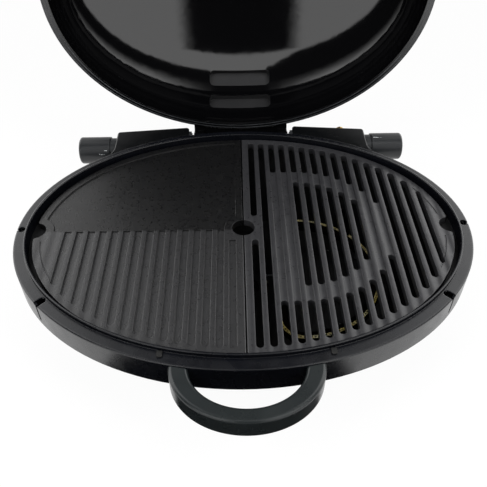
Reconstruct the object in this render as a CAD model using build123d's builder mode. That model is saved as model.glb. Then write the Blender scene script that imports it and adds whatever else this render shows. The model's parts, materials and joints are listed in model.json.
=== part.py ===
"""Benchtop gas barbecue, shown with its lid open.

Millimetres. X runs to the right, Y away from the cook and Z up. The origin is on the bench,
under the centre of the finger hole where the two cooking plates meet.
The lid is drawn shut and then turned open about its hinge pins.
"""

import os
from math import cos, radians, sin, sqrt

from build123d import *

os.makedirs("parts", exist_ok=True)

# Fits and gaps
running_fit = 0.05
seat_gap = 0.2
swing_gap = 1.0
slide_gap = 0.5

# Surround ring
ring_top = 176.0
ring_half_width = 330.0
ring_half_depth = 249.7
ring_wall_height = 40.0
ring_wall = 3.5
ring_deck = 3.5
ring_edge_radius = 2.0
deck_width_side = 15.0
deck_width_front = 17.2
lip_height = 6.5
lip_wall = 3.5
side_keyhole_x = 323.0
keyhole_radius = 5.5
front_keyhole_x = 266.0
front_keyhole_y = 140.0
keyhole_length = 19.0
keyhole_width = 10.5
keyhole_turn = 45.0
keyhole_slit = 4.0
side_slit_drop = 9.0
front_slit_drop = 31.0
ring_screw_count = 8
ring_boss_radius = 4.6
ring_screw_outset = 4.5

# Base bowl
plate_seat_drop = 14.0
flange_thickness = 4.0
flange_inset_side = 5.0
flange_inset_front = 5.7
bowl_top_half_width = 299.0
bowl_top_half_depth = 221.5
bowl_floor_half_width = 235.0
bowl_floor_half_depth = 165.0
bowl_floor_z = 40.0
bowl_wall = 3.5
drain_length = 50.0
drain_width = 36.0

# Cooking plates
plate_half_width = 305.0
plate_half_depth = 227.5
plate_thickness = 11.0
plate_split = 1.6
plate_border = 11.5
finger_hole_radius = 16.7
boss_radius = 28.0
notch_radius = 16.0
notch_centre_x = 304.5
notch_flare = 3.0
griddle_recess = 1.8
groove_depth = 3.0
groove_width = 10.0
groove_count = 15
groove_first_x = 16.3
groove_pitch = 17.05
groove_back_y = -2.0
slot_width = 10.0
end_slot_width = 7.0
slot_count = 16
slot_pitch = 17.15
band_groove_depth = 2.0
band_outer_radius = 137.0
band_inner_radius = 112.0
band_centre_x = 80.0
band_centre_y = -3.0
band_straight_x = 43.0
end_line_x = 258.0
end_line_width = 1.8
end_line_depth = 0.9
plate_under_recess = 5.0
plate_edge_radius = 1.2

# Front handle
handle_half_width = 93.5
handle_bar = 23.5
handle_reach = 76.0
handle_bar_front = 19.0
handle_root_y = 239.0
handle_top_drop = 2.0
handle_height = 32.0
handle_edge_radius = 4.5
handle_screw_x = 82.0
handle_screw_drop = 24.0
screw_shank_radius = 2.0
screw_head_radius = 4.0
screw_head_height = 2.5
screw_grip = 12.0

# Lid
lid_half_width = 328.5
lid_half_depth = 243.5
lid_gap = 2.4
lid_flange_width_side = 12.0
lid_flange_width_front = 9.5
lid_flange_thickness = 3.0
lid_wall = 2.0
lid_height = 155.0
lid_open_angle = 109.5
hinge_y = 253.0
hinge_drop = 12.0
rest_clip_x = 104.0
rest_clip_width = 7.0
rest_clip_length = 9.0
rest_clip_height = 2.0

# Lid vents
vent_width = 114.0
vent_height = 31.0
vent_corner = 9.0
vent_lower_z = 70.0
vent_upper_z = 106.0
vent_reach = 9.0
vent_wall = 1.5

# Lid handle
lid_handle_half_width = 84.0
lid_handle_reach = 58.0
lid_handle_bar = 19.0
lid_handle_bar_front = 17.0
lid_handle_height = 20.0
lid_handle_z = 22.0

# Hinge
hinge_pin_radius = 3.0
knuckle_radius = 6.8
knuckle_length = 17.0
hinge_block_half_width = 83.0
hinge_block_back = 263.0
hinge_block_top = 32.0
bracket_gap = 4.5
bracket_thickness = 4.0
bracket_height = 44.0
bracket_screw_drops = (12.0, 26.0)
hinge_pin_tail = 12.0
washer_radius = 6.0
washer_thickness = 1.6
stop_pin_radius = 3.0
stop_pin_reach = 22.0

# Control housings at the back
housing_outer_x = 217.0
housing_inner_back_y = 265.0
housing_outer_back_y = 253.0
housing_height = 52.0
housing_wall = 3.0
housing_corner = 5.0
housing_edge_radius = 2.5
housing_screw_xs = (106.0, 208.0)
housing_screw_drop = 34.0
housing_boss = 10.0
flare_start_y = 205.4
flare_radius = 34.0
flare_end_x = 231.0

# Gas taps and knobs
tap_y = 231.0
tap_drop = 23.2
tap_inner_x = 160.0
tap_outer_x = 202.0
tap_width = 22.0
tap_nose_radius = 11.0
plug_radius = 8.0
plug_length = 20.0
plug_inset = 8.0
spindle_radius = 4.0
spindle_square = 5.0
spindle_socket = 14.0
spindle_engagement = 8.0
spring_length = 7.6
spring_inner_radius = 4.6
spring_outer_radius = 6.4
spindle_collar_radius = 7.4
spindle_collar_thickness = 2.0
tap_cap_length = 12.0
push_travel = 3.0
bezel_outer_x = 232.0
bezel_radius = 20.8
bezel_bore = 6.0
knob_start_x = 228.0
knob_end_x = 281.5
knob_radius = 23.0
knob_socket_depth = 8.0
knob_end_radius = 4.0
knob_bore_depth = 36.0

# Gas pipes
manifold_radius = 4.5
inlet_x = 181.0
inlet_neck_radius = 7.0
inlet_hex = 22.0
inlet_hex_length = 9.0
inlet_thread_radius = 8.2
inlet_thread_length = 16.0
inlet_bore = 3.5
feed_radius = 4.0
feed_x = 170.0
feed_bend = 16.0
injector_radius = 6.0
injector_length = 14.0
injector_y = 196.0

# Burners
burner_top_drop = 88.0
burner_height = 14.0
burner_centre_x = 84.0
burner_centre_y = -14.0
burner_radius = 119.0
burner_tube = 16.0
burner_straight_x = 55.0
burner_corner = 30.0
burner_edge_radius = 5.0
port_radius = 1.3
port_depth = 3.0
port_count = 40
venturi_radius = 9.0
venturi_wall = 1.5
venturi_mouth_y = 190.0
burner_bracket_width = 14.0
burner_bracket_thickness = 2.0
burner_bracket_length = 14.0
ceramic_x = 34.0
ceramic_radius = 4.0
ceramic_length = 26.0
electrode_radius = 1.5
electrode_height = 16.0
spark_gap = 3.0

# Stand and drip tray
trestle_x = 190.0
trestle_width = 22.0
trestle_top_half = 84.0
front_foot_y = 112.0
back_foot_y = 158.0
trestle_pad_half = 14.0
trestle_depth = 14.0
trestle_screw_y = 60.0
foot_height = 12.0
foot_radius = 13.0
tray_half_width = 130.0
tray_half_depth = 110.0
tray_height = 22.0
tray_wall = 1.5
tray_rim = 8.0
tray_top_z = 36.0
tray_corner = 12.0
tray_pull_width = 70.0
tray_pull_reach = 12.0
runner_wall = 2.0
runner_lip = 6.0
runner_flange = 10.0
runner_half_length = 104.0
runner_screw_y = 80.0

# Places worked out from the sizes above
wall_base = ring_top - ring_wall_height
deck_under = ring_top - ring_deck
lip_outer = (ring_half_width - deck_width_side, ring_half_depth - deck_width_front)
lip_inner = (lip_outer[0] - lip_wall, lip_outer[1] - lip_wall)
outer_wall = (ring_half_width, ring_half_depth)
wall_inner = (ring_half_width - ring_wall, ring_half_depth - ring_wall)
seat_z = ring_top - plate_seat_drop
flange_under = seat_z - flange_thickness
flange_outer = (ring_half_width - flange_inset_side, ring_half_depth - flange_inset_front)
screw_ring = (lip_outer[0] + ring_screw_outset, lip_outer[1] + ring_screw_outset)
plate_top = seat_z + plate_thickness
border_inner = (plate_half_width - plate_border, plate_half_depth - plate_border)
lid_base = ring_top + lid_gap
lid_handle_base = lid_base + lid_handle_z
lid_screw_x = lid_handle_half_width - lid_handle_bar / 2
lid_screw_z = lid_handle_base + lid_handle_height / 2
hinge_z = ring_top - hinge_drop
hinge_axis = Axis((0, hinge_y, hinge_z), (1, 0, 0))
tap_z = ring_top - tap_drop
burner_top = ring_top - burner_top_drop
burner_under = burner_top - burner_height
burner_mid = burner_top - burner_height / 2
bowl_floor_top = bowl_floor_z + bowl_wall
handle_top = ring_top - handle_top_drop
both_sides = ((-1, "left"), (1, "right"))
ring_screw_angles = [360 / ring_screw_count * (i + 0.5) for i in range(ring_screw_count)]


def ellipse_y(half_axes, x):
    """Return how far an ellipse reaches along Y at a distance x from its centre."""
    return half_axes[1] * sqrt(max(0.0, 1 - (x / half_axes[0]) ** 2))


def write_piece(part, name):
    """Label a finished piece and write its STEP file."""
    part.label = name
    export_step(part, f"parts/{name}.step")


def write_pair(part, name):
    """Write a piece of the right-hand side and its mirrored twin on the left."""
    write_piece(mirror(part, about=Plane.YZ), f"{name}_left")
    write_piece(part, f"{name}_right")


def write_open(part, name):
    """Write a piece of the lid, turned open about the hinge pins."""
    write_piece(part.rotate(hinge_axis, -lid_open_angle), name)


# Surround ring: a wall, a narrow flat deck and a raised lip round the plates
ring_screw_places = [
    (screw_ring[0] * cos(radians(a)), screw_ring[1] * sin(radians(a))) for a in ring_screw_angles
]
with BuildPart() as surround_ring:
    with BuildSketch(Plane.XY.offset(wall_base)):
        Ellipse(ring_half_width, ring_half_depth)
    extrude(amount=ring_wall_height)
    fillet(surround_ring.edges().group_by(Axis.Z)[-1], ring_edge_radius)
    with BuildSketch(Plane.XY.offset(wall_base)):
        Ellipse(*wall_inner)
    extrude(amount=ring_wall_height - ring_deck, mode=Mode.SUBTRACT)
    with BuildSketch(Plane.XY.offset(wall_base)):
        Ellipse(*lip_inner)
    extrude(amount=ring_wall_height, mode=Mode.SUBTRACT)
    with BuildSketch(Plane.XY.offset(seat_z)):
        Ellipse(*lip_outer)
        Ellipse(*lip_inner, mode=Mode.SUBTRACT)
    extrude(amount=ring_top + lip_height - seat_z)
    fillet(surround_ring.edges().group_by(Axis.Z)[-1], lip_wall / 3)
    with BuildSketch(Plane.XY.offset(seat_z)):
        with Locations(*ring_screw_places):
            Circle(ring_boss_radius)
            Circle(screw_shank_radius + running_fit, mode=Mode.SUBTRACT)
    extrude(amount=deck_under - seat_z)
    with BuildSketch(Plane.XY.offset(ring_top - side_slit_drop)):
        for side, name in both_sides:
            with Locations((side * side_keyhole_x, 0)):
                Circle(keyhole_radius)
            with Locations((side * ring_half_width, 0)):
                Rectangle(2 * (ring_half_width - side_keyhole_x), keyhole_slit)
    extrude(amount=side_slit_drop, mode=Mode.SUBTRACT)
    with BuildSketch(Plane.XY.offset(deck_under)):
        for side, name in both_sides:
            keyhole_place = (side * front_keyhole_x, -front_keyhole_y, 0)
            with Locations(Location(keyhole_place, (0, 0, -side * keyhole_turn))):
                SlotOverall(keyhole_length, keyhole_width)
    extrude(amount=ring_deck, mode=Mode.SUBTRACT)
    with BuildSketch(Plane.XY.offset(ring_top - front_slit_drop)):
        for side, name in both_sides:
            slit_place = (
                side * (front_keyhole_x + keyhole_length / 2 * cos(radians(keyhole_turn))),
                -front_keyhole_y - keyhole_length / 2 * sin(radians(keyhole_turn)),
                0,
            )
            with Locations(Location(slit_place, (0, 0, -side * keyhole_turn))):
                Rectangle(keyhole_length, keyhole_slit)
    extrude(amount=front_slit_drop, mode=Mode.SUBTRACT)
    for side, name in both_sides:
        with BuildSketch(Plane.YZ):
            with Locations((tap_y, tap_z)):
                Circle(manifold_radius + swing_gap)
        extrude(amount=side * tap_inner_x, mode=Mode.SUBTRACT)
        with BuildSketch(Plane.XZ.offset(ring_half_depth)):
            with Locations((side * handle_screw_x, ring_top - handle_screw_drop)):
                Circle(screw_shank_radius + running_fit)
        extrude(amount=-handle_bar, mode=Mode.SUBTRACT)
        with BuildSketch(Plane.XZ.offset(-ring_half_depth)):
            for x in housing_screw_xs:
                with Locations((side * x, ring_top - housing_screw_drop)):
                    Circle(screw_shank_radius + running_fit)
        extrude(amount=ring_half_depth / 2, mode=Mode.SUBTRACT)
write_piece(surround_ring.part, "surround_ring")

# Screw places on the bowl's floor, shared with the stand and the runners
runner_screw_x = tray_half_width + tray_rim + slide_gap + runner_wall + runner_flange / 2
trestle_screw_places = [
    (x, y) for x in (-trestle_x, trestle_x) for y in (-trestle_screw_y, trestle_screw_y)
]
runner_screw_places = [
    (x, y) for x in (-runner_screw_x, runner_screw_x) for y in (-runner_screw_y, runner_screw_y)
]

# Base bowl: a deep pan with a flange that carries the ring and the plates
with BuildPart() as base_bowl:
    with BuildSketch(Plane.XY.offset(flange_under)):
        Ellipse(*flange_outer)
    extrude(amount=flange_thickness)
    with BuildSketch(Plane.XY.offset(bowl_floor_z)):
        Ellipse(bowl_floor_half_width, bowl_floor_half_depth)
    with BuildSketch(Plane.XY.offset(flange_under)):
        Ellipse(bowl_top_half_width, bowl_top_half_depth)
    loft(ruled=True)
    with BuildSketch(Plane.XY.offset(bowl_floor_top)):
        Ellipse(bowl_floor_half_width - bowl_wall, bowl_floor_half_depth - bowl_wall)
    with BuildSketch(Plane.XY.offset(seat_z)):
        Ellipse(bowl_top_half_width - bowl_wall, bowl_top_half_depth - bowl_wall)
    loft(ruled=True, mode=Mode.SUBTRACT)
    with BuildSketch(Plane.XY.offset(bowl_floor_z)):
        SlotOverall(drain_length, drain_width)
    extrude(amount=bowl_wall, mode=Mode.SUBTRACT)
    with BuildSketch(Plane.XY.offset(flange_under)):
        with Locations(*ring_screw_places):
            Circle(screw_shank_radius + running_fit)
    extrude(amount=flange_thickness, mode=Mode.SUBTRACT)
    with BuildSketch(Plane.XZ):
        for side, name in both_sides:
            with Locations((side * feed_x, burner_mid)):
                Circle(venturi_radius + seat_gap)
    extrude(amount=-ring_half_depth, mode=Mode.SUBTRACT)
    with BuildSketch(Plane.XY.offset(bowl_floor_z)):
        with Locations(*trestle_screw_places, *runner_screw_places):
            Circle(screw_shank_radius + running_fit)
    extrude(amount=bowl_wall, mode=Mode.SUBTRACT)
write_piece(base_bowl.part, "base_bowl")


# Plate blank: the left half of an ellipse with its top edge eased, before its own features
with BuildPart() as plate_blank:
    with BuildSketch(Plane.XY.offset(seat_z)):
        Ellipse(plate_half_width, plate_half_depth)
        with Locations((plate_half_width, 0)):
            Rectangle(2 * plate_half_width + plate_split, 2 * plate_half_depth, mode=Mode.SUBTRACT)
    extrude(amount=plate_thickness)
    fillet(plate_blank.edges().group_by(Axis.Z)[-1], plate_edge_radius)


def plate_openings(side):
    """Draw the finger hole and the notch at the plate's end, with its flared mouth."""
    mouth_start = side * (notch_centre_x - notch_flare)
    mouth_end = side * (plate_half_width + notch_flare)
    Circle(finger_hole_radius)
    with Locations((side * notch_centre_x, 0)):
        Circle(notch_radius)
    Polygon(
        (mouth_start, -notch_radius),
        (mouth_end, -notch_radius - 2 * notch_flare),
        (mouth_end, notch_radius + 2 * notch_flare),
        (mouth_start, notch_radius),
        align=None,
    )


def plate_inside(side):
    """Draw the area inside one plate's raised border."""
    Ellipse(*border_inner)
    with Locations((-side * plate_half_width, 0)):
        Rectangle(2 * (plate_half_width + plate_border), 2 * plate_half_depth, mode=Mode.SUBTRACT)
    Circle(boss_radius, mode=Mode.SUBTRACT)
    with Locations((side * notch_centre_x, 0)):
        Circle(notch_radius + plate_border, mode=Mode.SUBTRACT)


def end_line(side):
    """Draw the fine line that follows the border round the notch."""
    Ellipse(*border_inner)
    Ellipse(border_inner[0] - end_line_width, border_inner[1] - end_line_width, mode=Mode.SUBTRACT)
    with Locations((side * (end_line_x - plate_half_width), 0)):
        Rectangle(2 * plate_half_width, 2 * plate_half_depth, mode=Mode.SUBTRACT)
    with Locations((side * notch_centre_x, 0)):
        Circle(notch_radius + plate_border, mode=Mode.SUBTRACT)


# Griddle plate on the left: flat at the back, ribbed at the front
with BuildPart() as griddle_plate:
    add(plate_blank.part)
    with BuildSketch(Plane.XY.offset(seat_z)):
        plate_openings(-1)
    extrude(amount=plate_thickness, mode=Mode.SUBTRACT)
    with BuildSketch(Plane.XY.offset(plate_top - griddle_recess)):
        plate_inside(-1)
        with Locations((0, groove_back_y - plate_half_depth)):
            Rectangle(2 * plate_half_width, 2 * plate_half_depth, mode=Mode.SUBTRACT)
    extrude(amount=griddle_recess, mode=Mode.SUBTRACT)
    with BuildSketch(Plane.XY.offset(plate_top - groove_depth)):
        for i in range(groove_count):
            x = groove_first_x + i * groove_pitch
            front = ellipse_y(border_inner, x) - groove_width / 2
            back = max(-groove_back_y, ellipse_y((boss_radius, boss_radius), x - groove_width / 2))
            with Locations((-x, -(front + back) / 2)):
                Rectangle(groove_width, front - back)
            with Locations((-x, -front)):
                Circle(groove_width / 2)
    extrude(amount=groove_depth, mode=Mode.SUBTRACT)
    with BuildSketch(Plane.XY.offset(plate_top - end_line_depth)):
        end_line(-1)
    extrude(amount=end_line_depth, mode=Mode.SUBTRACT)
    with BuildSketch(Plane.XY.offset(seat_z)):
        plate_inside(-1)
    extrude(amount=plate_under_recess, mode=Mode.SUBTRACT)
write_piece(griddle_plate.part, "griddle_plate")


def slot_spans(x):
    """Return the stretches along Y, from the border inwards, where a grill slot goes through."""
    end = ellipse_y(border_inner, x)
    across_band = x - band_centre_x
    middle = band_centre_y
    if x < band_straight_x:
        spans = [(-end, end)]
    elif across_band >= band_outer_radius:
        spans = [(-end, end)]
    else:
        outer = ellipse_y((band_outer_radius, band_outer_radius), max(0.0, across_band))
        spans = [(-end, middle - outer), (middle + outer, end)]
        if 0 < across_band < band_inner_radius - slot_width / 2:
            inner = ellipse_y((band_inner_radius, band_inner_radius), across_band)
            spans.append((middle - inner, middle + inner))
    if x < boss_radius:
        clear = ellipse_y((boss_radius, boss_radius), x - slot_width / 2)
        spans = [(-end, -clear), (clear, end)]
    return spans


# Grill plate on the right: through slots, and a solid band of shallow grooves over the burner
with BuildPart() as grill_plate:
    add(mirror(plate_blank.part, about=Plane.YZ, mode=Mode.PRIVATE))
    with BuildSketch(Plane.XY.offset(seat_z)):
        plate_openings(1)
    extrude(amount=plate_thickness, mode=Mode.SUBTRACT)
    with BuildSketch(Plane.XY.offset(seat_z)):
        for i in range(slot_count):
            x = groove_first_x + i * slot_pitch
            width = end_slot_width if i == slot_count - 1 else slot_width
            for low, high in slot_spans(x):
                with Locations(Location((x, (low + high) / 2, 0), (0, 0, 90))):
                    SlotOverall(high - low, width)
    extrude(amount=plate_thickness, mode=Mode.SUBTRACT)
    with BuildSketch(Plane.XY.offset(plate_top - band_groove_depth)):
        for i in range(slot_count):
            x = groove_first_x + i * slot_pitch
            if band_straight_x < x < band_centre_x + band_outer_radius:
                reach = ellipse_y((band_outer_radius, band_outer_radius), max(0.0, x - band_centre_x))
                with Locations((x, band_centre_y)):
                    Rectangle(slot_width, 2 * (reach + slot_width / 2))
    extrude(amount=band_groove_depth, mode=Mode.SUBTRACT)
    with BuildSketch(Plane.XY.offset(plate_top - end_line_depth)):
        end_line(1)
        with Locations((end_line_x - slot_width, 0)):
            Rectangle(4 * slot_width, 2 * plate_half_depth, mode=Mode.SUBTRACT)
    extrude(amount=end_line_depth, mode=Mode.SUBTRACT)
write_piece(grill_plate.part, "grill_plate")


# Front handle: a flat U-shaped bar screwed through the ring's wall
def u_bar(half_width, reach, bar, bar_front, root_y, inner_limit):
    """Draw a U-shaped bar that leaves an elliptical wall towards the cook."""
    with Locations((0, -root_y)):
        Ellipse(half_width, reach)
        Ellipse(half_width - bar, reach - bar_front, mode=Mode.SUBTRACT)
    with Locations((0, -root_y + reach / 2)):
        Rectangle(2 * half_width, reach, mode=Mode.SUBTRACT)
    for side, name in both_sides:
        with Locations((side * (half_width - bar / 2), -(root_y + inner_limit) / 2)):
            Rectangle(bar, root_y - inner_limit)


with BuildPart() as front_handle:
    with BuildSketch(Plane.XY.offset(handle_top - handle_height)):
        u_bar(
            handle_half_width, handle_reach, handle_bar, handle_bar_front,
            handle_root_y, handle_root_y - handle_bar,
        )
    extrude(amount=handle_height)
    fillet(front_handle.edges().group_by(Axis.Z)[-1], handle_edge_radius)
    fillet(front_handle.edges().group_by(Axis.Z)[0], handle_edge_radius)
    with BuildSketch(Plane.XY.offset(wall_base - handle_height)):
        Ellipse(ring_half_width + seat_gap, ring_half_depth + seat_gap)
    extrude(amount=2 * ring_wall_height + handle_height, mode=Mode.SUBTRACT)
    with BuildSketch(Plane.XZ.offset(handle_root_y - handle_bar)):
        for side, name in both_sides:
            with Locations((side * handle_screw_x, ring_top - handle_screw_drop)):
                Circle(screw_shank_radius + running_fit)
    extrude(amount=handle_bar + ring_wall + 2 * screw_grip, mode=Mode.SUBTRACT)
write_piece(front_handle.part, "front_handle")

# Handle screws: the heads bear on the inside of the ring's wall
with BuildPart() as front_handle_screws:
    handle_screw_seat = ellipse_y(wall_inner, handle_screw_x + screw_head_radius)
    with BuildSketch(Plane.XZ.offset(handle_screw_seat - screw_head_height)):
        for side, name in both_sides:
            with Locations((side * handle_screw_x, ring_top - handle_screw_drop)):
                Circle(screw_head_radius)
    extrude(amount=screw_head_height)
    with BuildSketch(Plane.XZ.offset(handle_screw_seat - seat_gap)):
        for side, name in both_sides:
            with Locations((side * handle_screw_x, ring_top - handle_screw_drop)):
                Circle(screw_shank_radius)
    extrude(amount=ring_wall + 2 * screw_grip)
write_piece(front_handle_screws.part, "front_handle_screws")

# Ring screws: they come up through the bowl's flange into the ring's bosses
with BuildPart() as ring_screws:
    with BuildSketch(Plane.XY.offset(flange_under - screw_head_height)):
        with Locations(*ring_screw_places):
            Circle(screw_head_radius)
    extrude(amount=screw_head_height)
    with BuildSketch(Plane.XY.offset(flange_under)):
        with Locations(*ring_screw_places):
            Circle(screw_shank_radius)
    extrude(amount=flange_thickness + plate_seat_drop - ring_deck - seat_gap)
write_piece(ring_screws.part, "ring_screws")

# Rest clips on the deck, which the closed lid stands on
with BuildPart() as lid_rest_clips:
    clip_lip_y = ellipse_y(lip_outer, rest_clip_x - rest_clip_width / 2)
    clip_y = -(clip_lip_y + rest_clip_length / 2 + seat_gap)
    with BuildSketch(Plane.XY.offset(ring_top)):
        for side, name in both_sides:
            with Locations((side * rest_clip_x, clip_y)):
                RectangleRounded(rest_clip_width, rest_clip_length, rest_clip_width / 4)
    extrude(amount=rest_clip_height)
write_piece(lid_rest_clips.part, "lid_rest_clips")


# Lid: a pressed dome, half of an egg that is longest across
dome_half_width = lid_half_width - lid_flange_width_side + lid_wall
dome_half_depth = lid_half_depth - lid_flange_width_front + lid_wall


def dome_solid(inset):
    """Return the dome's solid shape, drawn in by a distance from its outside."""
    half_width = dome_half_width - inset
    with BuildPart() as dome:
        with BuildSketch(Plane.XZ):
            with BuildLine():
                EllipticalCenterArc((0, lid_base), half_width, lid_height - inset, arc_size=90)
                Polyline((0, lid_base + lid_height - inset), (0, lid_base), (half_width, lid_base))
            make_face()
        revolve(axis=Axis.Z)
        scale(by=(1, (dome_half_depth - inset) / half_width, 1), about=(0, 0, 0))
    return dome.part


def dome_depth(inset, x, height):
    """Return how far the dome reaches along Y, at a distance x from its middle and a height."""
    across = (x / (dome_half_width - inset)) ** 2
    upwards = (height / (lid_height - inset)) ** 2
    return (dome_half_depth - inset) * sqrt(1 - across - upwards)


dome_outside = dome_solid(0)
dome_inside = dome_solid(lid_wall)
vent_planes = {}
for height, name in ((vent_lower_z, "lower"), (vent_upper_z, "upper")):
    depth = dome_depth(0, 0, height)
    outwards = (0, depth / dome_half_depth**2, height / lid_height**2)
    vent_planes[name] = Plane(
        origin=(0, depth, lid_base + height), x_dir=(-1, 0, 0), z_dir=outwards
    )
with BuildPart() as lid_dome:
    with BuildSketch(Plane.XY.offset(lid_base)):
        Ellipse(lid_half_width, lid_half_depth)
    extrude(amount=lid_flange_thickness)
    fillet(lid_dome.edges().group_by(Axis.Z)[-1], lid_flange_thickness / 2)
    add(dome_outside)
    add(dome_inside, mode=Mode.SUBTRACT)
    for plane in vent_planes.values():
        with BuildSketch(plane.offset(-vent_reach)):
            RectangleRounded(vent_width, vent_height, vent_corner)
        extrude(amount=3 * vent_reach, mode=Mode.SUBTRACT)
    with BuildSketch(Plane.XZ):
        for side, name in both_sides:
            with Locations((side * lid_screw_x, lid_screw_z)):
                Circle(screw_shank_radius + running_fit)
    extrude(amount=lid_half_depth, mode=Mode.SUBTRACT)
write_open(lid_dome.part, "lid_dome")

# Vent hoods outside the dome: shallow covers, open along their lower edge
for name, plane in vent_planes.items():
    with BuildPart() as vent_hood:
        with BuildSketch(plane.offset(-vent_reach)):
            RectangleRounded(vent_width + 2 * vent_wall, vent_height + 2 * vent_wall, vent_corner)
        extrude(amount=2 * vent_reach)
        fillet(vent_hood.edges().group_by(Axis((0, 0, 0), plane.z_dir))[-1], vent_wall)
        with BuildSketch(plane.offset(-vent_reach)):
            RectangleRounded(vent_width, vent_height, vent_corner)
        extrude(amount=2 * vent_reach - vent_wall, mode=Mode.SUBTRACT)
        with BuildSketch(plane.offset(-vent_reach)):
            with Locations((0, -vent_height)):
                Rectangle(2 * vent_width, vent_height + vent_wall)
        extrude(amount=3 * vent_reach, mode=Mode.SUBTRACT)
        add(dome_outside, mode=Mode.SUBTRACT)
    write_open(vent_hood.part, f"lid_vent_{name}")

# Lid handle: a smaller U-shaped bar on the front of the lid
with BuildPart() as lid_handle:
    lid_handle_root = ellipse_y((dome_half_width, dome_half_depth), lid_handle_half_width)
    with BuildSketch(Plane.XY.offset(lid_handle_base)):
        u_bar(
            lid_handle_half_width, lid_handle_reach, lid_handle_bar, lid_handle_bar_front,
            lid_handle_root, lid_handle_root - lid_handle_bar,
        )
    extrude(amount=lid_handle_height)
    fillet(lid_handle.edges().group_by(Axis.Z)[-1], handle_edge_radius)
    fillet(lid_handle.edges().group_by(Axis.Z)[0], handle_edge_radius)
    add(dome_outside, mode=Mode.SUBTRACT)
    with BuildSketch(Plane.XZ.offset(lid_handle_root - lid_handle_bar)):
        for side, name in both_sides:
            with Locations((side * lid_screw_x, lid_screw_z)):
                Circle(screw_shank_radius + running_fit)
    extrude(amount=lid_handle_bar + 2 * screw_grip, mode=Mode.SUBTRACT)
write_open(lid_handle.part, "lid_handle")

# Lid handle screws: the heads bear on the inside of the dome
with BuildPart() as lid_handle_screws:
    lid_screw_seat = dome_depth(
        lid_wall, lid_screw_x + screw_head_radius, lid_screw_z - lid_base + screw_head_radius
    )
    with BuildSketch(Plane.XZ.offset(lid_screw_seat - screw_head_height)):
        for side, name in both_sides:
            with Locations((side * lid_screw_x, lid_screw_z)):
                Circle(screw_head_radius)
    extrude(amount=screw_head_height)
    with BuildSketch(Plane.XZ.offset(lid_screw_seat)):
        for side, name in both_sides:
            with Locations((side * lid_screw_x, lid_screw_z)):
                Circle(screw_shank_radius)
    extrude(amount=2 * screw_grip)
write_open(lid_handle_screws.part, "lid_handle_screws")

# Hinge block on the back of the lid, with a knuckle at each end for a hinge pin
with BuildPart() as lid_hinge_block:
    with BuildSketch(Plane.YZ.offset(-hinge_block_half_width)):
        with BuildLine():
            Polyline(
                (lid_half_depth - 2 * lid_flange_width_front, lid_base + lid_flange_thickness + seat_gap),
                (hinge_block_back, lid_base + lid_flange_thickness + seat_gap),
                (hinge_block_back, lid_base + hinge_block_top / 2),
                (dome_half_depth, lid_base + hinge_block_top),
                (lid_half_depth - 2 * lid_flange_width_front, lid_base + hinge_block_top),
                close=True,
            )
        make_face()
    extrude(amount=2 * hinge_block_half_width)
    fillet(lid_hinge_block.edges().filter_by(Axis.X).sort_by(Axis.Y)[-2:], bracket_thickness)
    for side, name in both_sides:
        with BuildSketch(Plane.YZ.offset(side * hinge_block_half_width)):
            with Locations((hinge_y, hinge_z)):
                Circle(knuckle_radius)
            with Locations((hinge_y, (hinge_z + lid_base + hinge_block_top / 3) / 2)):
                Rectangle(2 * knuckle_radius, lid_base + hinge_block_top / 3 - hinge_z)
        extrude(amount=-side * knuckle_length)
    with BuildSketch(Plane.YZ.offset(-hinge_block_half_width)):
        with Locations((hinge_y, hinge_z)):
            Circle(hinge_pin_radius + running_fit)
    extrude(amount=2 * hinge_block_half_width, mode=Mode.SUBTRACT)
    add(dome_outside, mode=Mode.SUBTRACT)
write_open(lid_hinge_block.part, "lid_hinge_block")

# Hinge brackets, pins, washers and stop pins
bracket_inner_x = hinge_block_half_width + bracket_gap
open_lean = radians(lid_open_angle)
stop_offset = hinge_block_back - hinge_y + seat_gap + stop_pin_radius
stop_y = hinge_y + stop_offset * cos(open_lean) + stop_pin_reach * sin(open_lean)
stop_z = hinge_z - stop_offset * sin(open_lean) + stop_pin_reach * cos(open_lean)
bracket_screw_places = [(hinge_y - 2 * hinge_pin_radius, hinge_z - drop) for drop in bracket_screw_drops]
with BuildPart() as hinge_brackets:
    with BuildSketch(Plane.YZ.offset(bracket_inner_x)):
        with Locations((hinge_y, hinge_z)):
            Circle(3 * hinge_pin_radius)
        with Locations((stop_y, stop_z)):
            Circle(2 * stop_pin_radius)
        with Locations((hinge_y - hinge_pin_radius, ring_top - bracket_height)):
            Rectangle(4 * hinge_pin_radius, 2 * bracket_thickness)
        make_hull()
        with Locations((hinge_y, hinge_z)):
            Circle(hinge_pin_radius + running_fit, mode=Mode.SUBTRACT)
        with Locations((stop_y, stop_z)):
            Circle(stop_pin_radius + running_fit, mode=Mode.SUBTRACT)
        with Locations(*bracket_screw_places):
            Circle(screw_shank_radius + running_fit, mode=Mode.SUBTRACT)
    extrude(amount=bracket_thickness)
    mirror(about=Plane.YZ)
write_piece(hinge_brackets.part, "hinge_brackets")

with BuildPart() as hinge_pins:
    with BuildSketch(Plane.YZ.offset(hinge_block_half_width - knuckle_length)):
        with Locations((hinge_y, hinge_z)):
            Circle(hinge_pin_radius)
    extrude(amount=knuckle_length + bracket_gap + bracket_thickness + hinge_pin_tail)
    mirror(about=Plane.YZ)
write_piece(hinge_pins.part, "hinge_pins")

with BuildPart() as hinge_washers:
    with BuildSketch(Plane.YZ.offset(bracket_inner_x - washer_thickness - seat_gap)):
        with Locations((hinge_y, hinge_z)):
            Circle(washer_radius)
            Circle(hinge_pin_radius + running_fit, mode=Mode.SUBTRACT)
    extrude(amount=washer_thickness)
    mirror(about=Plane.YZ)
write_piece(hinge_washers.part, "hinge_washers")

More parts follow.
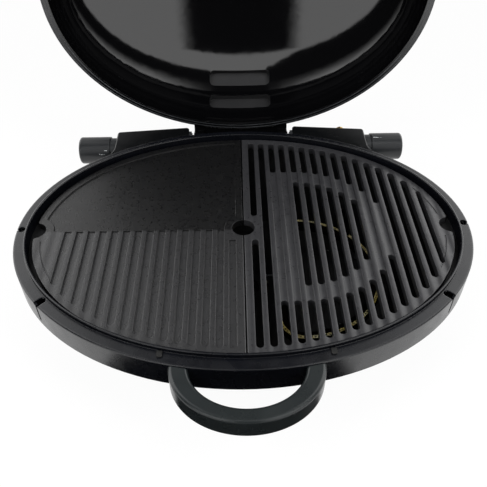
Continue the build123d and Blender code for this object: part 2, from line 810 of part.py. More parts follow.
with BuildPart() as stop_pins:
    with BuildSketch(Plane.YZ.offset(hinge_block_half_width - knuckle_length / 2)):
        with Locations((stop_y, stop_z)):
            Circle(stop_pin_radius)
    extrude(amount=knuckle_length / 2 + bracket_gap + bracket_thickness)
    mirror(about=Plane.YZ)
write_piece(stop_pins.part, "stop_pins")

with BuildPart() as bracket_screws:
    with BuildSketch(Plane.YZ.offset(bracket_inner_x - screw_head_height)):
        with Locations(*bracket_screw_places):
            Circle(screw_head_radius)
    extrude(amount=screw_head_height)
    with BuildSketch(Plane.YZ.offset(bracket_inner_x)):
        with Locations(*bracket_screw_places):
            Circle(screw_shank_radius)
    extrude(amount=bracket_thickness + housing_wall + screw_head_height)
    mirror(about=Plane.YZ)
write_piece(bracket_screws.part, "bracket_screws")

# Control housings: the wings at the back that carry the gas taps
housing_inner_x = bracket_inner_x + bracket_thickness
housing_base = ring_top - housing_height
inlet_hole_radius = inlet_neck_radius + seat_gap


def housing_shape(inset):
    """Draw a housing's plan, drawn in by a distance from its back and its two ends."""
    Polygon(
        (housing_inner_x + inset, ring_half_depth / 2),
        (housing_inner_x + inset, housing_inner_back_y - inset),
        (housing_outer_x - inset, housing_outer_back_y - inset),
        (housing_outer_x - inset, flare_start_y),
        (flare_end_x, flare_start_y),
        (flare_end_x, ring_half_depth / 2),
        align=None,
    )
    with Locations((housing_outer_x + flare_radius, flare_start_y)):
        Circle(flare_radius + inset, mode=Mode.SUBTRACT)


with BuildPart() as control_housing:
    with BuildSketch(Plane.XY.offset(housing_base)):
        housing_shape(0)
    extrude(amount=housing_height)
    fillet(control_housing.edges().filter_by(Axis.Z).sort_by(Axis.Y)[-2:], housing_corner)
    fillet(control_housing.edges().group_by(Axis.Z)[-1], housing_edge_radius)
    with BuildSketch(Plane.XY.offset(housing_base)):
        housing_shape(housing_wall)
    extrude(amount=housing_height - housing_wall, mode=Mode.SUBTRACT)
    with BuildSketch(Plane.XY.offset(ring_top - housing_screw_drop - housing_boss / 2)):
        for x in housing_screw_xs:
            with Locations((x, ellipse_y(outer_wall, x) + housing_boss / 4)):
                Rectangle(housing_boss, 3 * housing_boss)
    extrude(amount=housing_screw_drop + housing_boss / 2 - housing_wall)
    with BuildSketch(Plane.XY.offset(housing_base)):
        Ellipse(ring_half_width + seat_gap, ring_half_depth + seat_gap)
    extrude(amount=housing_height, mode=Mode.SUBTRACT)
    for x in housing_screw_xs:
        with BuildSketch(Plane.XZ):
            with Locations((x, ring_top - housing_screw_drop)):
                Circle(screw_shank_radius + running_fit)
        extrude(amount=-ellipse_y(outer_wall, x) - housing_boss - seat_gap, mode=Mode.SUBTRACT)
    with BuildSketch(Plane.YZ.offset(housing_inner_x)):
        with Locations((hinge_y, hinge_z)):
            Circle(hinge_pin_radius + running_fit)
        with Locations(*bracket_screw_places):
            Circle(screw_shank_radius + running_fit)
    extrude(amount=housing_wall + hinge_pin_tail, mode=Mode.SUBTRACT)
    with BuildSketch(Plane.YZ.offset(housing_inner_x)):
        with Locations((tap_y, tap_z)):
            Circle(manifold_radius + swing_gap)
    extrude(amount=tap_inner_x - housing_inner_x, mode=Mode.SUBTRACT)
    with BuildSketch(Plane.YZ.offset(housing_outer_x - 2 * housing_wall)):
        with Locations((tap_y, tap_z)):
            Circle(bezel_bore)
    extrude(amount=3 * housing_wall, mode=Mode.SUBTRACT)
    with BuildSketch(Plane.XZ.offset(-tap_y)):
        with Locations((inlet_x, tap_z)):
            Circle(inlet_hole_radius)
    extrude(amount=-2 * tap_width, mode=Mode.SUBTRACT)
write_pair(control_housing.part, "control_housing")

with BuildPart() as housing_screws:
    for x in housing_screw_xs:
        seat = ellipse_y(wall_inner, x + screw_head_radius)
        with BuildSketch(Plane.XZ.offset(-seat + screw_head_height)):
            with Locations((x, ring_top - housing_screw_drop)):
                Circle(screw_head_radius)
        extrude(amount=-screw_head_height)
        with BuildSketch(Plane.XZ.offset(-seat)):
            with Locations((x, ring_top - housing_screw_drop)):
                Circle(screw_shank_radius)
        extrude(amount=-ring_wall - housing_boss)
    mirror(about=Plane.YZ)
write_piece(housing_screws.part, "housing_screws")

# Gas taps: body, cap, turning plug, sliding spindle and return spring
plug_outer_x = tap_outer_x - plug_inset
plug_inner_x = plug_outer_x - plug_length
collar_x = plug_outer_x + spring_length + 2 * seat_gap
cap_shoulder_x = collar_x + spindle_collar_thickness + seat_gap
spindle_end_x = knob_start_x + knob_bore_depth
with BuildPart() as tap_body:
    with BuildSketch(Plane.YZ.offset(tap_inner_x)):
        with Locations((tap_y, tap_z)):
            RectangleRounded(tap_width, tap_width, tap_width / 6)
    extrude(amount=tap_outer_x - tap_inner_x)
    with BuildSketch(Plane.YZ.offset(plug_inner_x - seat_gap)):
        with Locations((tap_y, tap_z)):
            Circle(plug_radius + running_fit)
    extrude(amount=tap_outer_x - plug_inner_x + seat_gap, mode=Mode.SUBTRACT)
write_pair(tap_body.part, "tap_body")

with BuildPart() as tap_cap:
    with BuildSketch(Plane.YZ.offset(tap_outer_x)):
        with Locations((tap_y, tap_z)):
            Circle(tap_nose_radius)
    extrude(amount=tap_cap_length)
    with BuildSketch(Plane.YZ.offset(tap_outer_x)):
        with Locations((tap_y, tap_z)):
            Circle(plug_radius + running_fit)
    extrude(amount=cap_shoulder_x - tap_outer_x, mode=Mode.SUBTRACT)
    with BuildSketch(Plane.YZ.offset(tap_outer_x)):
        with Locations((tap_y, tap_z)):
            Circle(spindle_radius + running_fit)
    extrude(amount=tap_cap_length, mode=Mode.SUBTRACT)
write_pair(tap_cap.part, "tap_cap")

with BuildPart() as tap_plug:
    with BuildSketch(Plane.YZ.offset(plug_inner_x)):
        with Locations((tap_y, tap_z)):
            Circle(plug_radius)
    extrude(amount=plug_length)
    with BuildSketch(Plane.YZ.offset(plug_outer_x - spindle_socket)):
        with Locations((tap_y, tap_z)):
            Rectangle(spindle_square + seat_gap, spindle_square + seat_gap)
    extrude(amount=spindle_socket, mode=Mode.SUBTRACT)
write_pair(tap_plug.part, "tap_plug")

with BuildPart() as tap_spindle:
    with BuildSketch(Plane.YZ.offset(plug_outer_x - spindle_engagement)):
        with Locations((tap_y, tap_z)):
            Rectangle(spindle_square, spindle_square)
    extrude(amount=spindle_engagement + push_travel + seat_gap)
    with BuildSketch(Plane.YZ.offset(plug_outer_x + push_travel + seat_gap)):
        with Locations((tap_y, tap_z)):
            Circle(spindle_radius)
    extrude(amount=spindle_end_x - plug_outer_x - push_travel - seat_gap)
    with BuildSketch(Plane.YZ.offset(collar_x)):
        with Locations((tap_y, tap_z)):
            Circle(spindle_collar_radius)
    extrude(amount=spindle_collar_thickness)
write_pair(tap_spindle.part, "tap_spindle")

with BuildPart() as tap_spring:
    with BuildSketch(Plane.YZ.offset(plug_outer_x + seat_gap)):
        with Locations((tap_y, tap_z)):
            Circle(spring_outer_radius)
            Circle(spring_inner_radius, mode=Mode.SUBTRACT)
    extrude(amount=spring_length)
write_pair(tap_spring.part, "tap_spring")

with BuildPart() as knob_bezel:
    with BuildSketch(Plane.YZ.offset(housing_outer_x)):
        with Locations((tap_y, tap_z)):
            Circle(bezel_radius)
            Circle(bezel_bore, mode=Mode.SUBTRACT)
    extrude(amount=bezel_outer_x - housing_outer_x)
write_pair(knob_bezel.part, "knob_bezel")

with BuildPart() as knob:
    with BuildSketch(Plane.YZ.offset(knob_start_x)):
        with Locations((tap_y, tap_z)):
            Circle(knob_radius)
    extrude(amount=knob_end_x - knob_start_x)
    fillet(knob.edges().group_by(Axis.X)[-1], knob_end_radius)
    with BuildSketch(Plane.YZ.offset(knob_start_x)):
        with Locations((tap_y, tap_z)):
            Circle(bezel_radius + slide_gap)
    extrude(amount=knob_socket_depth, mode=Mode.SUBTRACT)
    with BuildSketch(Plane.YZ.offset(knob_start_x)):
        with Locations((tap_y, tap_z)):
            Circle(spindle_radius + running_fit)
    extrude(amount=knob_bore_depth + seat_gap, mode=Mode.SUBTRACT)
write_pair(knob.part, "knob")

# Gas pipes: the manifold between the taps, the inlet, and a feed pipe down to each injector
with BuildPart() as gas_manifold:
    with BuildSketch(Plane.YZ.offset(-tap_inner_x)):
        with Locations((tap_y, tap_z)):
            Circle(manifold_radius)
    extrude(amount=2 * tap_inner_x)
write_piece(gas_manifold.part, "gas_manifold")

back_slope = (housing_inner_back_y - housing_outer_back_y) / (housing_outer_x - housing_inner_x)
hex_corner_x = inlet_x - inlet_hex / sqrt(3)
inlet_hex_y = housing_outer_back_y + back_slope * (housing_outer_x - hex_corner_x) + seat_gap
inlet_start_y = tap_y + tap_width / 2
with BuildPart() as gas_inlet:
    with BuildSketch(Plane.XZ.offset(-inlet_start_y)):
        with Locations((inlet_x, tap_z)):
            Circle(inlet_neck_radius)
    extrude(amount=-(inlet_hex_y - inlet_start_y))
    with BuildSketch(Plane.XZ.offset(-inlet_hex_y)):
        with Locations((inlet_x, tap_z)):
            RegularPolygon(inlet_hex / 2, 6, major_radius=False)
    extrude(amount=-inlet_hex_length)
    with BuildSketch(Plane.XZ.offset(-inlet_hex_y - inlet_hex_length)):
        with Locations((inlet_x, tap_z)):
            Circle(inlet_thread_radius)
    extrude(amount=-inlet_thread_length)
    inlet_end_y = inlet_hex_y + inlet_hex_length + inlet_thread_length
    with BuildSketch(Plane.XZ.offset(-inlet_end_y)):
        with Locations((inlet_x, tap_z)):
            Circle(inlet_bore)
    extrude(amount=inlet_thread_length + inlet_hex_length, mode=Mode.SUBTRACT)
write_piece(gas_inlet.part, "gas_inlet")

injector_back_y = injector_y + injector_length
with BuildPart() as feed_pipe:
    with BuildLine() as feed_line:
        FilletPolyline(
            (feed_x, tap_y, tap_z - tap_width / 2),
            (feed_x, tap_y, burner_mid),
            (feed_x, injector_back_y, burner_mid),
            radius=feed_bend,
        )
    with BuildSketch(Plane.XY.offset(tap_z - tap_width / 2)):
        with Locations((feed_x, tap_y)):
            Circle(feed_radius)
    sweep(path=feed_line.line)
write_pair(feed_pipe.part, "feed_pipe")

with BuildPart() as injector:
    with BuildSketch(Plane.XZ.offset(-injector_y)):
        with Locations((feed_x, burner_mid)):
            Circle(injector_radius)
            Circle(inlet_bore / 3, mode=Mode.SUBTRACT)
    extrude(amount=-injector_length)
write_pair(injector.part, "injector")


# Burners: a flat tube bent into a D, with flame ports on top and a venturi at the back
def burner_plan(grow):
    """Draw the burner's D outline, moved outwards from its middle line by a distance."""
    with Locations((burner_centre_x, burner_centre_y)):
        Circle(burner_radius + grow)
    with Locations((burner_straight_x - grow - burner_radius, burner_centre_y)):
        Rectangle(2 * burner_radius, 3 * burner_radius, mode=Mode.SUBTRACT)


with BuildPart() as burner:
    with BuildSketch(Plane.XY.offset(burner_under)) as burner_outer:
        burner_plan(burner_tube / 2)
        fillet(burner_outer.vertices().sort_by(Axis.X)[:2], burner_corner + burner_tube / 2)
    extrude(amount=burner_height)
    with BuildSketch(Plane.XY.offset(burner_under)) as burner_inner:
        burner_plan(-burner_tube / 2)
        fillet(burner_inner.vertices().sort_by(Axis.X)[:2], burner_corner - burner_tube / 2)
    extrude(amount=burner_height, mode=Mode.SUBTRACT)
    fillet(burner.edges().group_by(Axis.Z)[-1], burner_edge_radius)
    fillet(burner.edges().group_by(Axis.Z)[0], burner_edge_radius)
    venturi_start_y = burner_centre_y + ellipse_y((burner_radius, burner_radius), feed_x - burner_centre_x)
    with BuildSketch(Plane.XZ.offset(-venturi_start_y)):
        with Locations((feed_x, burner_mid)):
            Circle(venturi_radius)
    extrude(amount=-(venturi_mouth_y - venturi_start_y))
    with BuildSketch(Plane.XZ.offset(-venturi_mouth_y)):
        with Locations((feed_x, burner_mid)):
            Circle(venturi_radius - venturi_wall)
    extrude(amount=venturi_mouth_y - venturi_start_y - burner_tube, mode=Mode.SUBTRACT)
    with BuildSketch(Plane.XY.offset(burner_top - port_depth)):
        for i in range(port_count):
            angle = radians(-90 + 180 * (i + 0.5) / port_count)
            port_x = burner_centre_x + burner_radius * cos(angle)
            port_y = burner_centre_y + burner_radius * sin(angle)
            with Locations((port_x, port_y)):
                Circle(port_radius)
    extrude(amount=port_depth, mode=Mode.SUBTRACT)
write_pair(burner.part, "burner")

with BuildPart() as burner_brackets:
    for end in (-1, 1):
        tube_y = burner_centre_y + end * burner_radius
        with BuildSketch(Plane.XY.offset(bowl_floor_top)):
            with Locations((burner_centre_x, tube_y)):
                Rectangle(burner_bracket_width, burner_bracket_length)
        extrude(amount=burner_bracket_thickness)
        with BuildSketch(Plane.XY.offset(bowl_floor_top)):
            with Locations((burner_centre_x, tube_y)):
                Rectangle(burner_bracket_width, burner_bracket_thickness)
        extrude(amount=burner_under - bowl_floor_top)
        with BuildSketch(Plane.XY.offset(burner_under - burner_bracket_thickness)):
            with Locations((burner_centre_x, tube_y)):
                Rectangle(burner_bracket_width, burner_bracket_length)
        extrude(amount=burner_bracket_thickness)
    mirror(about=Plane.YZ)
write_piece(burner_brackets.part, "burner_brackets")

with BuildPart() as electrode_ceramic:
    with BuildSketch(Plane.XY.offset(bowl_floor_top)):
        with Locations((ceramic_x, burner_centre_y)):
            Circle(ceramic_radius)
    extrude(amount=ceramic_length)
write_pair(electrode_ceramic.part, "electrode_ceramic")

with BuildPart() as spark_electrode:
    electrode_start = bowl_floor_top + ceramic_length
    with BuildSketch(Plane.XY.offset(electrode_start)):
        with Locations((ceramic_x, burner_centre_y)):
            Circle(electrode_radius)
    extrude(amount=electrode_height)
    with BuildSketch(Plane.YZ.offset(ceramic_x)):
        with Locations((burner_centre_y, electrode_start + electrode_height - electrode_radius)):
            Circle(electrode_radius)
    extrude(amount=burner_straight_x - burner_tube / 2 - spark_gap - ceramic_x)
write_pair(spark_electrode.part, "spark_electrode")

# Stand: two trestles under the bowl, each on two rubber feet
with BuildPart() as stand_trestle:
    with BuildSketch(Plane.YZ.offset(trestle_x - trestle_width / 2)):
        Polygon(
            (-trestle_top_half, bowl_floor_z),
            (trestle_top_half, bowl_floor_z),
            (back_foot_y + trestle_pad_half, foot_height),
            (back_foot_y - trestle_pad_half, foot_height),
            (trestle_top_half - trestle_depth, bowl_floor_z - trestle_depth),
            (-trestle_top_half + trestle_depth, bowl_floor_z - trestle_depth),
            (-front_foot_y + trestle_pad_half, foot_height),
            (-front_foot_y - trestle_pad_half, foot_height),
            align=None,
        )
    extrude(amount=trestle_width)
    with BuildSketch(Plane.XY.offset(bowl_floor_z - screw_grip)):
        with Locations((trestle_x, -trestle_screw_y), (trestle_x, trestle_screw_y)):
            Circle(screw_shank_radius + running_fit)
    extrude(amount=screw_grip, mode=Mode.SUBTRACT)
write_pair(stand_trestle.part, "stand_trestle")

with BuildPart() as trestle_screws:
    with BuildSketch(Plane.XY.offset(bowl_floor_top)):
        with Locations(*trestle_screw_places):
            Circle(screw_head_radius)
    extrude(amount=screw_head_height)
    with BuildSketch(Plane.XY.offset(bowl_floor_z - screw_grip + seat_gap)):
        with Locations(*trestle_screw_places):
            Circle(screw_shank_radius)
    extrude(amount=screw_grip + bowl_wall - seat_gap)
write_piece(trestle_screws.part, "trestle_screws")

with BuildPart() as rubber_feet:
    with BuildSketch(Plane.XY):
        with Locations((0, (back_foot_y - front_foot_y) / 2)):
            with GridLocations(2 * trestle_x, front_foot_y + back_foot_y, 2, 2):
                Circle(foot_radius)
    extrude(amount=foot_height)
    chamfer(rubber_feet.edges().group_by(Axis.Z)[0], foot_radius / 8)
write_piece(rubber_feet.part, "rubber_feet")

# Drip tray: it slides out towards the cook on two runners under the bowl
rim_under = tray_top_z - tray_wall
with BuildPart() as drip_tray:
    with BuildSketch(Plane.XY.offset(rim_under)):
        RectangleRounded(
            2 * (tray_half_width + tray_rim), 2 * (tray_half_depth + tray_rim), tray_corner + tray_rim
        )
        with Locations((0, -tray_half_depth - tray_rim)):
            Rectangle(tray_pull_width, 2 * tray_pull_reach)
    extrude(amount=tray_wall)
    with BuildSketch(Plane.XY.offset(tray_top_z - tray_height)):
        RectangleRounded(2 * tray_half_width, 2 * tray_half_depth, tray_corner)
    extrude(amount=tray_height)
    with BuildSketch(Plane.XY.offset(tray_top_z - tray_height + tray_wall)):
        RectangleRounded(
            2 * (tray_half_width - tray_wall), 2 * (tray_half_depth - tray_wall), tray_corner - tray_wall
        )
    extrude(amount=tray_height, mode=Mode.SUBTRACT)
write_piece(drip_tray.part, "drip_tray")

with BuildPart() as tray_runners:
    web_x = tray_half_width + tray_rim + slide_gap
    lip_top = rim_under - seat_gap
    with BuildSketch(Plane.XZ.offset(-runner_half_length)):
        with Locations((web_x + runner_wall / 2, (bowl_floor_z + lip_top - runner_wall) / 2)):
            Rectangle(runner_wall, bowl_floor_z - lip_top + runner_wall)
        with Locations((web_x + (runner_wall - runner_lip) / 2, lip_top - runner_wall / 2)):
            Rectangle(runner_wall + runner_lip, runner_wall)
        with Locations((web_x + runner_wall + runner_flange / 2, bowl_floor_z - runner_wall / 2)):
            Rectangle(runner_wall + runner_flange, runner_wall)
    extrude(amount=2 * runner_half_length)
    with BuildSketch(Plane.XY.offset(bowl_floor_z - runner_wall)):
        with Locations((runner_screw_x, -runner_screw_y), (runner_screw_x, runner_screw_y)):
            Circle(screw_shank_radius + running_fit)
    extrude(amount=runner_wall, mode=Mode.SUBTRACT)
    mirror(about=Plane.YZ)
write_piece(tray_runners.part, "tray_runners")

with BuildPart() as runner_screws:
    with BuildSketch(Plane.XY.offset(bowl_floor_z - runner_wall - screw_head_height)):
        with Locations(*runner_screw_places):
            Circle(screw_head_radius)
    extrude(amount=screw_head_height)
    with BuildSketch(Plane.XY.offset(bowl_floor_z - runner_wall)):
        with Locations(*runner_screw_places):
            Circle(screw_shank_radius)
    extrude(amount=runner_wall + bowl_wall)
write_piece(runner_screws.part, "runner_screws")
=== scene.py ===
"""Dresses the benchtop gas barbecue: its finishes, its fine detail, the studio and the camera.

Every place is in metres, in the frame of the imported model. The cook stands at -Y and the
lid's hinge is at +Y. Sizes given in millimetres are turned to metres by the MM factor.
"""

import json
import logging
import math
from dataclasses import dataclass
from enum import Enum
from typing import Any

import bpy
from mathutils import Matrix, Vector


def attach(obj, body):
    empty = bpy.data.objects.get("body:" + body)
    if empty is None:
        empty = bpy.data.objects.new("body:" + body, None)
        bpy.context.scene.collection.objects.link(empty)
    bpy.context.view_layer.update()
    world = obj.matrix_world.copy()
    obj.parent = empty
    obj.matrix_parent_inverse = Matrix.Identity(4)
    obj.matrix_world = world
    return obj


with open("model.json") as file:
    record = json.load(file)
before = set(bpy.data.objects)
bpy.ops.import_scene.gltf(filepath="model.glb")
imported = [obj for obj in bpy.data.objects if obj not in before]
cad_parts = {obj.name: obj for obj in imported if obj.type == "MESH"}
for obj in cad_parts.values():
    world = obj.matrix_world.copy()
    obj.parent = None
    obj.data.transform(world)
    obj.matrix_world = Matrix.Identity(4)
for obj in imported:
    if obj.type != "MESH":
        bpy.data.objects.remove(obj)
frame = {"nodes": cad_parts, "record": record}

MM = 0.001
# The middle of a noise's range, which holds nearly all its values
NOISE_BAND = (0.35, 0.65)
WEAR_BAND = (0.3, 0.7)
# Worn patches are this many times finer than the mottle
WEAR_FINENESS = 3
LEAST_ROUGHNESS = 0.02
BEVEL_SAMPLES = 6
BEAD_SIDES = 10
STUD_SEGMENTS = 12
STUD_RINGS = 8
log = logging.getLogger("barbecue")


def linear_colour(code: str) -> tuple[float, float, float, float]:
    """Turn an sRGB hex colour into the linear colour that a shader wants.

    Args:
        code: The colour as six hex digits, with or without a leading hash.

    Returns:
        Linear red, green, blue and an alpha of one.
    """
    channels = []
    for start in (0, 2, 4):
        value = int(code.lstrip("#")[start:start + 2], 16) / 255
        channels.append(value / 12.92 if value <= 0.04045 else ((value + 0.055) / 1.055) ** 2.4)
    return (channels[0], channels[1], channels[2], 1.0)


def add_node(
    tree: bpy.types.NodeTree,
    kind: str,
    inputs: dict[Any, Any] | None = None,
    **settings: Any,
) -> bpy.types.Node:
    """Add one node to a tree, with its settings, its values and its links.

    Args:
        tree: The shader or geometry tree that gets the node.
        kind: The node's type name.
        inputs: For each input, by name or number, a value or the output socket that feeds it.
        **settings: The node's own properties, such as an operation.

    Returns:
        The new node.
    """
    node = tree.nodes.new(kind)
    for key, value in settings.items():
        setattr(node, key, value)
    for key, value in (inputs or {}).items():
        if isinstance(value, bpy.types.NodeSocket):
            tree.links.new(value, node.inputs[key])
        else:
            node.inputs[key].default_value = value
    return node


class Slot(Enum):
    """The record's material slots, by the finish that they stand for."""

    RING = "ring_enamel"
    BOWL = "cast_alloy"
    PLATE = "cast_iron_plate"
    HANDLE = "handle_plastic"
    HOUSING = "housing_plastic"
    LID = "lid_enamel"
    BRIGHT = "bright_steel"
    BRACKET = "bracket_steel"
    BRASS = "tap_brass"
    SPINDLE = "spindle_steel"
    PIPE = "pipe_aluminium"
    BURNER = "burner_steel"
    CERAMIC = "white_ceramic"
    RUBBER = "foot_rubber"
    TRAY = "tray_aluminium"


@dataclass(frozen=True)
class Finish:
    """A surface finish: its colour, its gloss and the grain that the eye can find in it.

    The grain is a fine bump, the mottle a slow change of colour, and the edge radius a
    rounding of hard edges where they catch the light. Sizes, heights and the radius are in
    millimetres.
    """

    name: str
    colour: str
    roughness: float
    metallic: float = 0.0
    ior: float = 1.5
    mottle_colour: str = ""
    mottle_size: float = 30.0
    mottle_share: float = 0.5
    grain_size: float = 0.6
    grain_height: float = 0.02
    edge_radius: float = 0.6
    roughness_spread: float = 0.08
    coat: float = 0.0
    coat_roughness: float = 0.1

    def scale(self, size: float) -> float:
        """Return the noise scale whose features are a size in millimetres."""
        return 1 / (size * MM)

    def colour_socket(self, tree: bpy.types.NodeTree, place: bpy.types.NodeSocket) -> Any:
        """Return what feeds the base colour: a plain value, or a mottled one.

        Args:
            tree: The material's tree.
            place: The Object coordinates.

        Returns:
            A colour, or the socket that gives one.
        """
        if not self.mottle_colour:
            return linear_colour(self.colour)
        noise = add_node(
            tree,
            "ShaderNodeTexNoise",
            {
                "Vector": place,
                "Scale": self.scale(self.mottle_size),
                "Detail": 5.0,
                "Roughness": 0.6,
            },
        )
        share = add_node(
            tree,
            "ShaderNodeMapRange",
            {
                "Value": noise.outputs["Fac"],
                "From Min": NOISE_BAND[0],
                "From Max": NOISE_BAND[1],
                "To Max": self.mottle_share,
            },
        )
        mix = add_node(
            tree,
            "ShaderNodeMix",
            {
                "Factor": share.outputs["Result"],
                "A": linear_colour(self.colour),
                "B": linear_colour(self.mottle_colour),
            },
            data_type="RGBA",
        )
        return mix.outputs[2]

    def bump_socket(self, tree: bpy.types.NodeTree, place: bpy.types.NodeSocket) -> Any:
        """Return the normal with the rounded edges and the grain in it.

        Args:
            tree: The material's tree.
            place: The Object coordinates.

        Returns:
            The socket of the finished normal.
        """
        edge = add_node(
            tree, "ShaderNodeBevel", {"Radius": self.edge_radius * MM}, samples=BEVEL_SAMPLES
        )
        grain = add_node(
            tree,
            "ShaderNodeTexNoise",
            {
                "Vector": place,
                "Scale": self.scale(self.grain_size),
                "Detail": 3.0,
                "Roughness": 0.55,
            },
        )
        bump = add_node(
            tree,
            "ShaderNodeBump",
            {
                "Strength": 1.0,
                "Distance": self.grain_height * MM,
                "Height": grain.outputs["Fac"],
                "Normal": edge.outputs["Normal"],
            },
        )
        return bump.outputs["Normal"]

    def build(self) -> bpy.types.Material:
        """Build the material of this finish.

        Returns:
            The finished material.
        """
        material = bpy.data.materials.new(self.name)
        material.use_nodes = True
        tree = material.node_tree
        tree.nodes.clear()
        place = add_node(tree, "ShaderNodeTexCoord").outputs["Object"]
        wear = add_node(
            tree,
            "ShaderNodeTexNoise",
            {"Vector": place, "Scale": self.scale(self.mottle_size / WEAR_FINENESS), "Detail": 4.0},
        )
        rough = add_node(
            tree,
            "ShaderNodeMapRange",
            {
                "Value": wear.outputs["Fac"],
                "From Min": WEAR_BAND[0],
                "From Max": WEAR_BAND[1],
                "To Min": max(LEAST_ROUGHNESS, self.roughness - self.roughness_spread),
                "To Max": min(1.0, self.roughness + self.roughness_spread),
            },
        )
        shader = add_node(
            tree,
            "ShaderNodeBsdfPrincipled",
            {
                "Base Color": self.colour_socket(tree, place),
                "Metallic": self.metallic,
                "Roughness": rough.outputs["Result"],
                "IOR": self.ior,
                "Coat Weight": self.coat,
                "Coat Roughness": self.coat_roughness,
                "Normal": self.bump_socket(tree, place),
            },
        )
        add_node(tree, "ShaderNodeOutputMaterial", {"Surface": shader.outputs["BSDF"]})
        return material


@dataclass(frozen=True)
class SeasonedIron(Finish):
    """Cast iron with a baked oil coat: sand-cast pits of about a millimetre, dulled on top."""

    pit_size: float = 1.3
    pit_height: float = 0.11

    def bump_socket(self, tree: bpy.types.NodeTree, place: bpy.types.NodeSocket) -> Any:
        """Return the normal with rounded edges, fine grain and the coarser casting pits.

        Args:
            tree: The material's tree.
            place: The Object coordinates.

        Returns:
            The socket of the finished normal.
        """
        pits = add_node(
            tree,
            "ShaderNodeTexVoronoi",
            {"Vector": place, "Scale": self.scale(self.pit_size), "Randomness": 1.0},
            feature="SMOOTH_F1",
        )
        bump = add_node(
            tree,
            "ShaderNodeBump",
            {
                "Strength": 1.0,
                "Distance": self.pit_height * MM,
                "Height": pits.outputs["Distance"],
                "Normal": super().bump_socket(tree, place),
            },
        )
        return bump.outputs["Normal"]


@dataclass(frozen=True)
class RibbedIron(SeasonedIron):
    """Seasoned iron whose bars are crowned across, so that each shows a soft double edge.

    The crown repeats across the plate at the bars' pitch, and stops behind a line. A painted sheen
    colour lightens the part in front of that line, standing in for the reflection that the ribs
    catch.
    """

    first_x: float = 0.0
    pitch: float = 17.0
    crown_height: float = 0.8
    end_y: float = 400.0
    end_fade: float = 4.0
    # A lighter grey painted on the ribbed front as sheen
    rib_sheen_colour: str = ""

    def in_front(self, tree: bpy.types.NodeTree, place: bpy.types.NodeSocket) -> Any:
        """Return one in front of the line where the bars end, and nought behind it.

        Args:
            tree: The material's tree.
            place: The Object coordinates.

        Returns:
            The socket of the share.
        """
        parts = add_node(tree, "ShaderNodeSeparateXYZ", {"Vector": place})
        inside = add_node(
            tree,
            "ShaderNodeMapRange",
            {
                "Value": parts.outputs["Y"],
                "From Min": self.end_y * MM,
                "From Max": (self.end_y - self.end_fade) * MM,
            },
        )
        return inside.outputs["Result"]

    def colour_socket(self, tree: bpy.types.NodeTree, place: bpy.types.NodeSocket) -> Any:
        """Return the base colour, with the ribbed front painted a lighter grey as sheen over the
        oiled flat.

        Args:
            tree: The material's tree.
            place: The Object coordinates.

        Returns:
            The socket of the colour.
        """
        oiled = super().colour_socket(tree, place)
        if not self.rib_sheen_colour:
            return oiled
        mix = add_node(
            tree,
            "ShaderNodeMix",
            {
                "Factor": self.in_front(tree, place),
                "A": oiled,
                "B": linear_colour(self.rib_sheen_colour),
            },
            data_type="RGBA",
        )
        return mix.outputs[2]

    def bump_socket(self, tree: bpy.types.NodeTree, place: bpy.types.NodeSocket) -> Any:
        """Return the normal with the crown of the bars over the casting's grain.

        Args:
            tree: The material's tree.
            place: The Object coordinates.

        Returns:
            The socket of the finished normal.
        """
        parts = add_node(tree, "ShaderNodeSeparateXYZ", {"Vector": place})
        turn = 2 * math.pi / (self.pitch * MM)
        phase = add_node(
            tree,
            "ShaderNodeMath",
            {0: parts.outputs["X"], 1: turn, 2: -turn * self.first_x * MM},
            operation="MULTIPLY_ADD",
        )
        wave = add_node(tree, "ShaderNodeMath", {0: phase.outputs["Value"]}, operation="COSINE")
        crown = add_node(
            tree,
            "ShaderNodeMath",
            {0: wave.outputs["Value"], 1: self.in_front(tree, place)},
            operation="MULTIPLY",
        )
        bump = add_node(
            tree,
            "ShaderNodeBump",
            {
                "Strength": 1.0,
                "Distance": self.crown_height * MM,
                "Height": crown.outputs["Value"],
                "Normal": super().bump_socket(tree, place),
            },
        )
        return bump.outputs["Normal"]


@dataclass(frozen=True)
class DrawnMetal(Finish):
    """Metal with fine streaks along one axis, as left by drawing, turning or brushing."""

    streak_axis: int = 0
    streak_ratio: float = 40.0

    def bump_socket(self, tree: bpy.types.NodeTree, place: bpy.types.NodeSocket) -> Any:
        """Return the normal with streaks drawn out along the finish's axis.

        Args:
            tree: The material's tree.
            place: The Object coordinates.

        Returns:
            The socket of the finished normal.
        """
        stretch = [1.0, 1.0, 1.0]
        stretch[self.streak_axis] = 1 / self.streak_ratio
        mapping = add_node(tree, "ShaderNodeMapping", {"Vector": place, "Scale": stretch})
        return super().bump_socket(tree, mapping.outputs["Vector"])


# Satin powder coat over pressed steel: slight orange peel, a cool black
RING_COAT = Finish(
    "satin_powder_coat", "#08090d", 0.27, ior=1.6, mottle_colour="#0c0e14", mottle_size=60,
    grain_size=0.9, grain_height=0.02, edge_radius=1.6, roughness_spread=0.05,
)
# Die-cast alloy with a satin coat: the sand-blasted skin under the coat stays faintly visible. The
# coat's black is also kept deep and matt as painted shade, so the gap round the plates and the
# finger hole stay dark
BOWL_COAT_AND_SHADE = Finish(
    "die_cast_coat_and_painted_shade", "#0a0a0b", 0.6, mottle_colour="#0f0f10", mottle_size=45,
    grain_size=0.9, grain_height=0.05, edge_radius=1.0,
)
# Seasoned cast iron: an oil film over casting grain, so highlights break up into specks, dark on
# the flat, with a lighter grey painted on the ribbed front as sheen
GRIDDLE_IRON = RibbedIron(
    "seasoned_griddle_iron", "#0c0c0d", 0.32, ior=1.6, mottle_colour="#131313", mottle_size=14,
    mottle_share=0.7, grain_size=0.45, grain_height=0.06, edge_radius=1.0, roughness_spread=0.07,
    first_x=-24.8, pitch=17.05, end_y=-2.0, crown_height=0.12, pit_height=0.16,
    rib_sheen_colour="#272728",
)
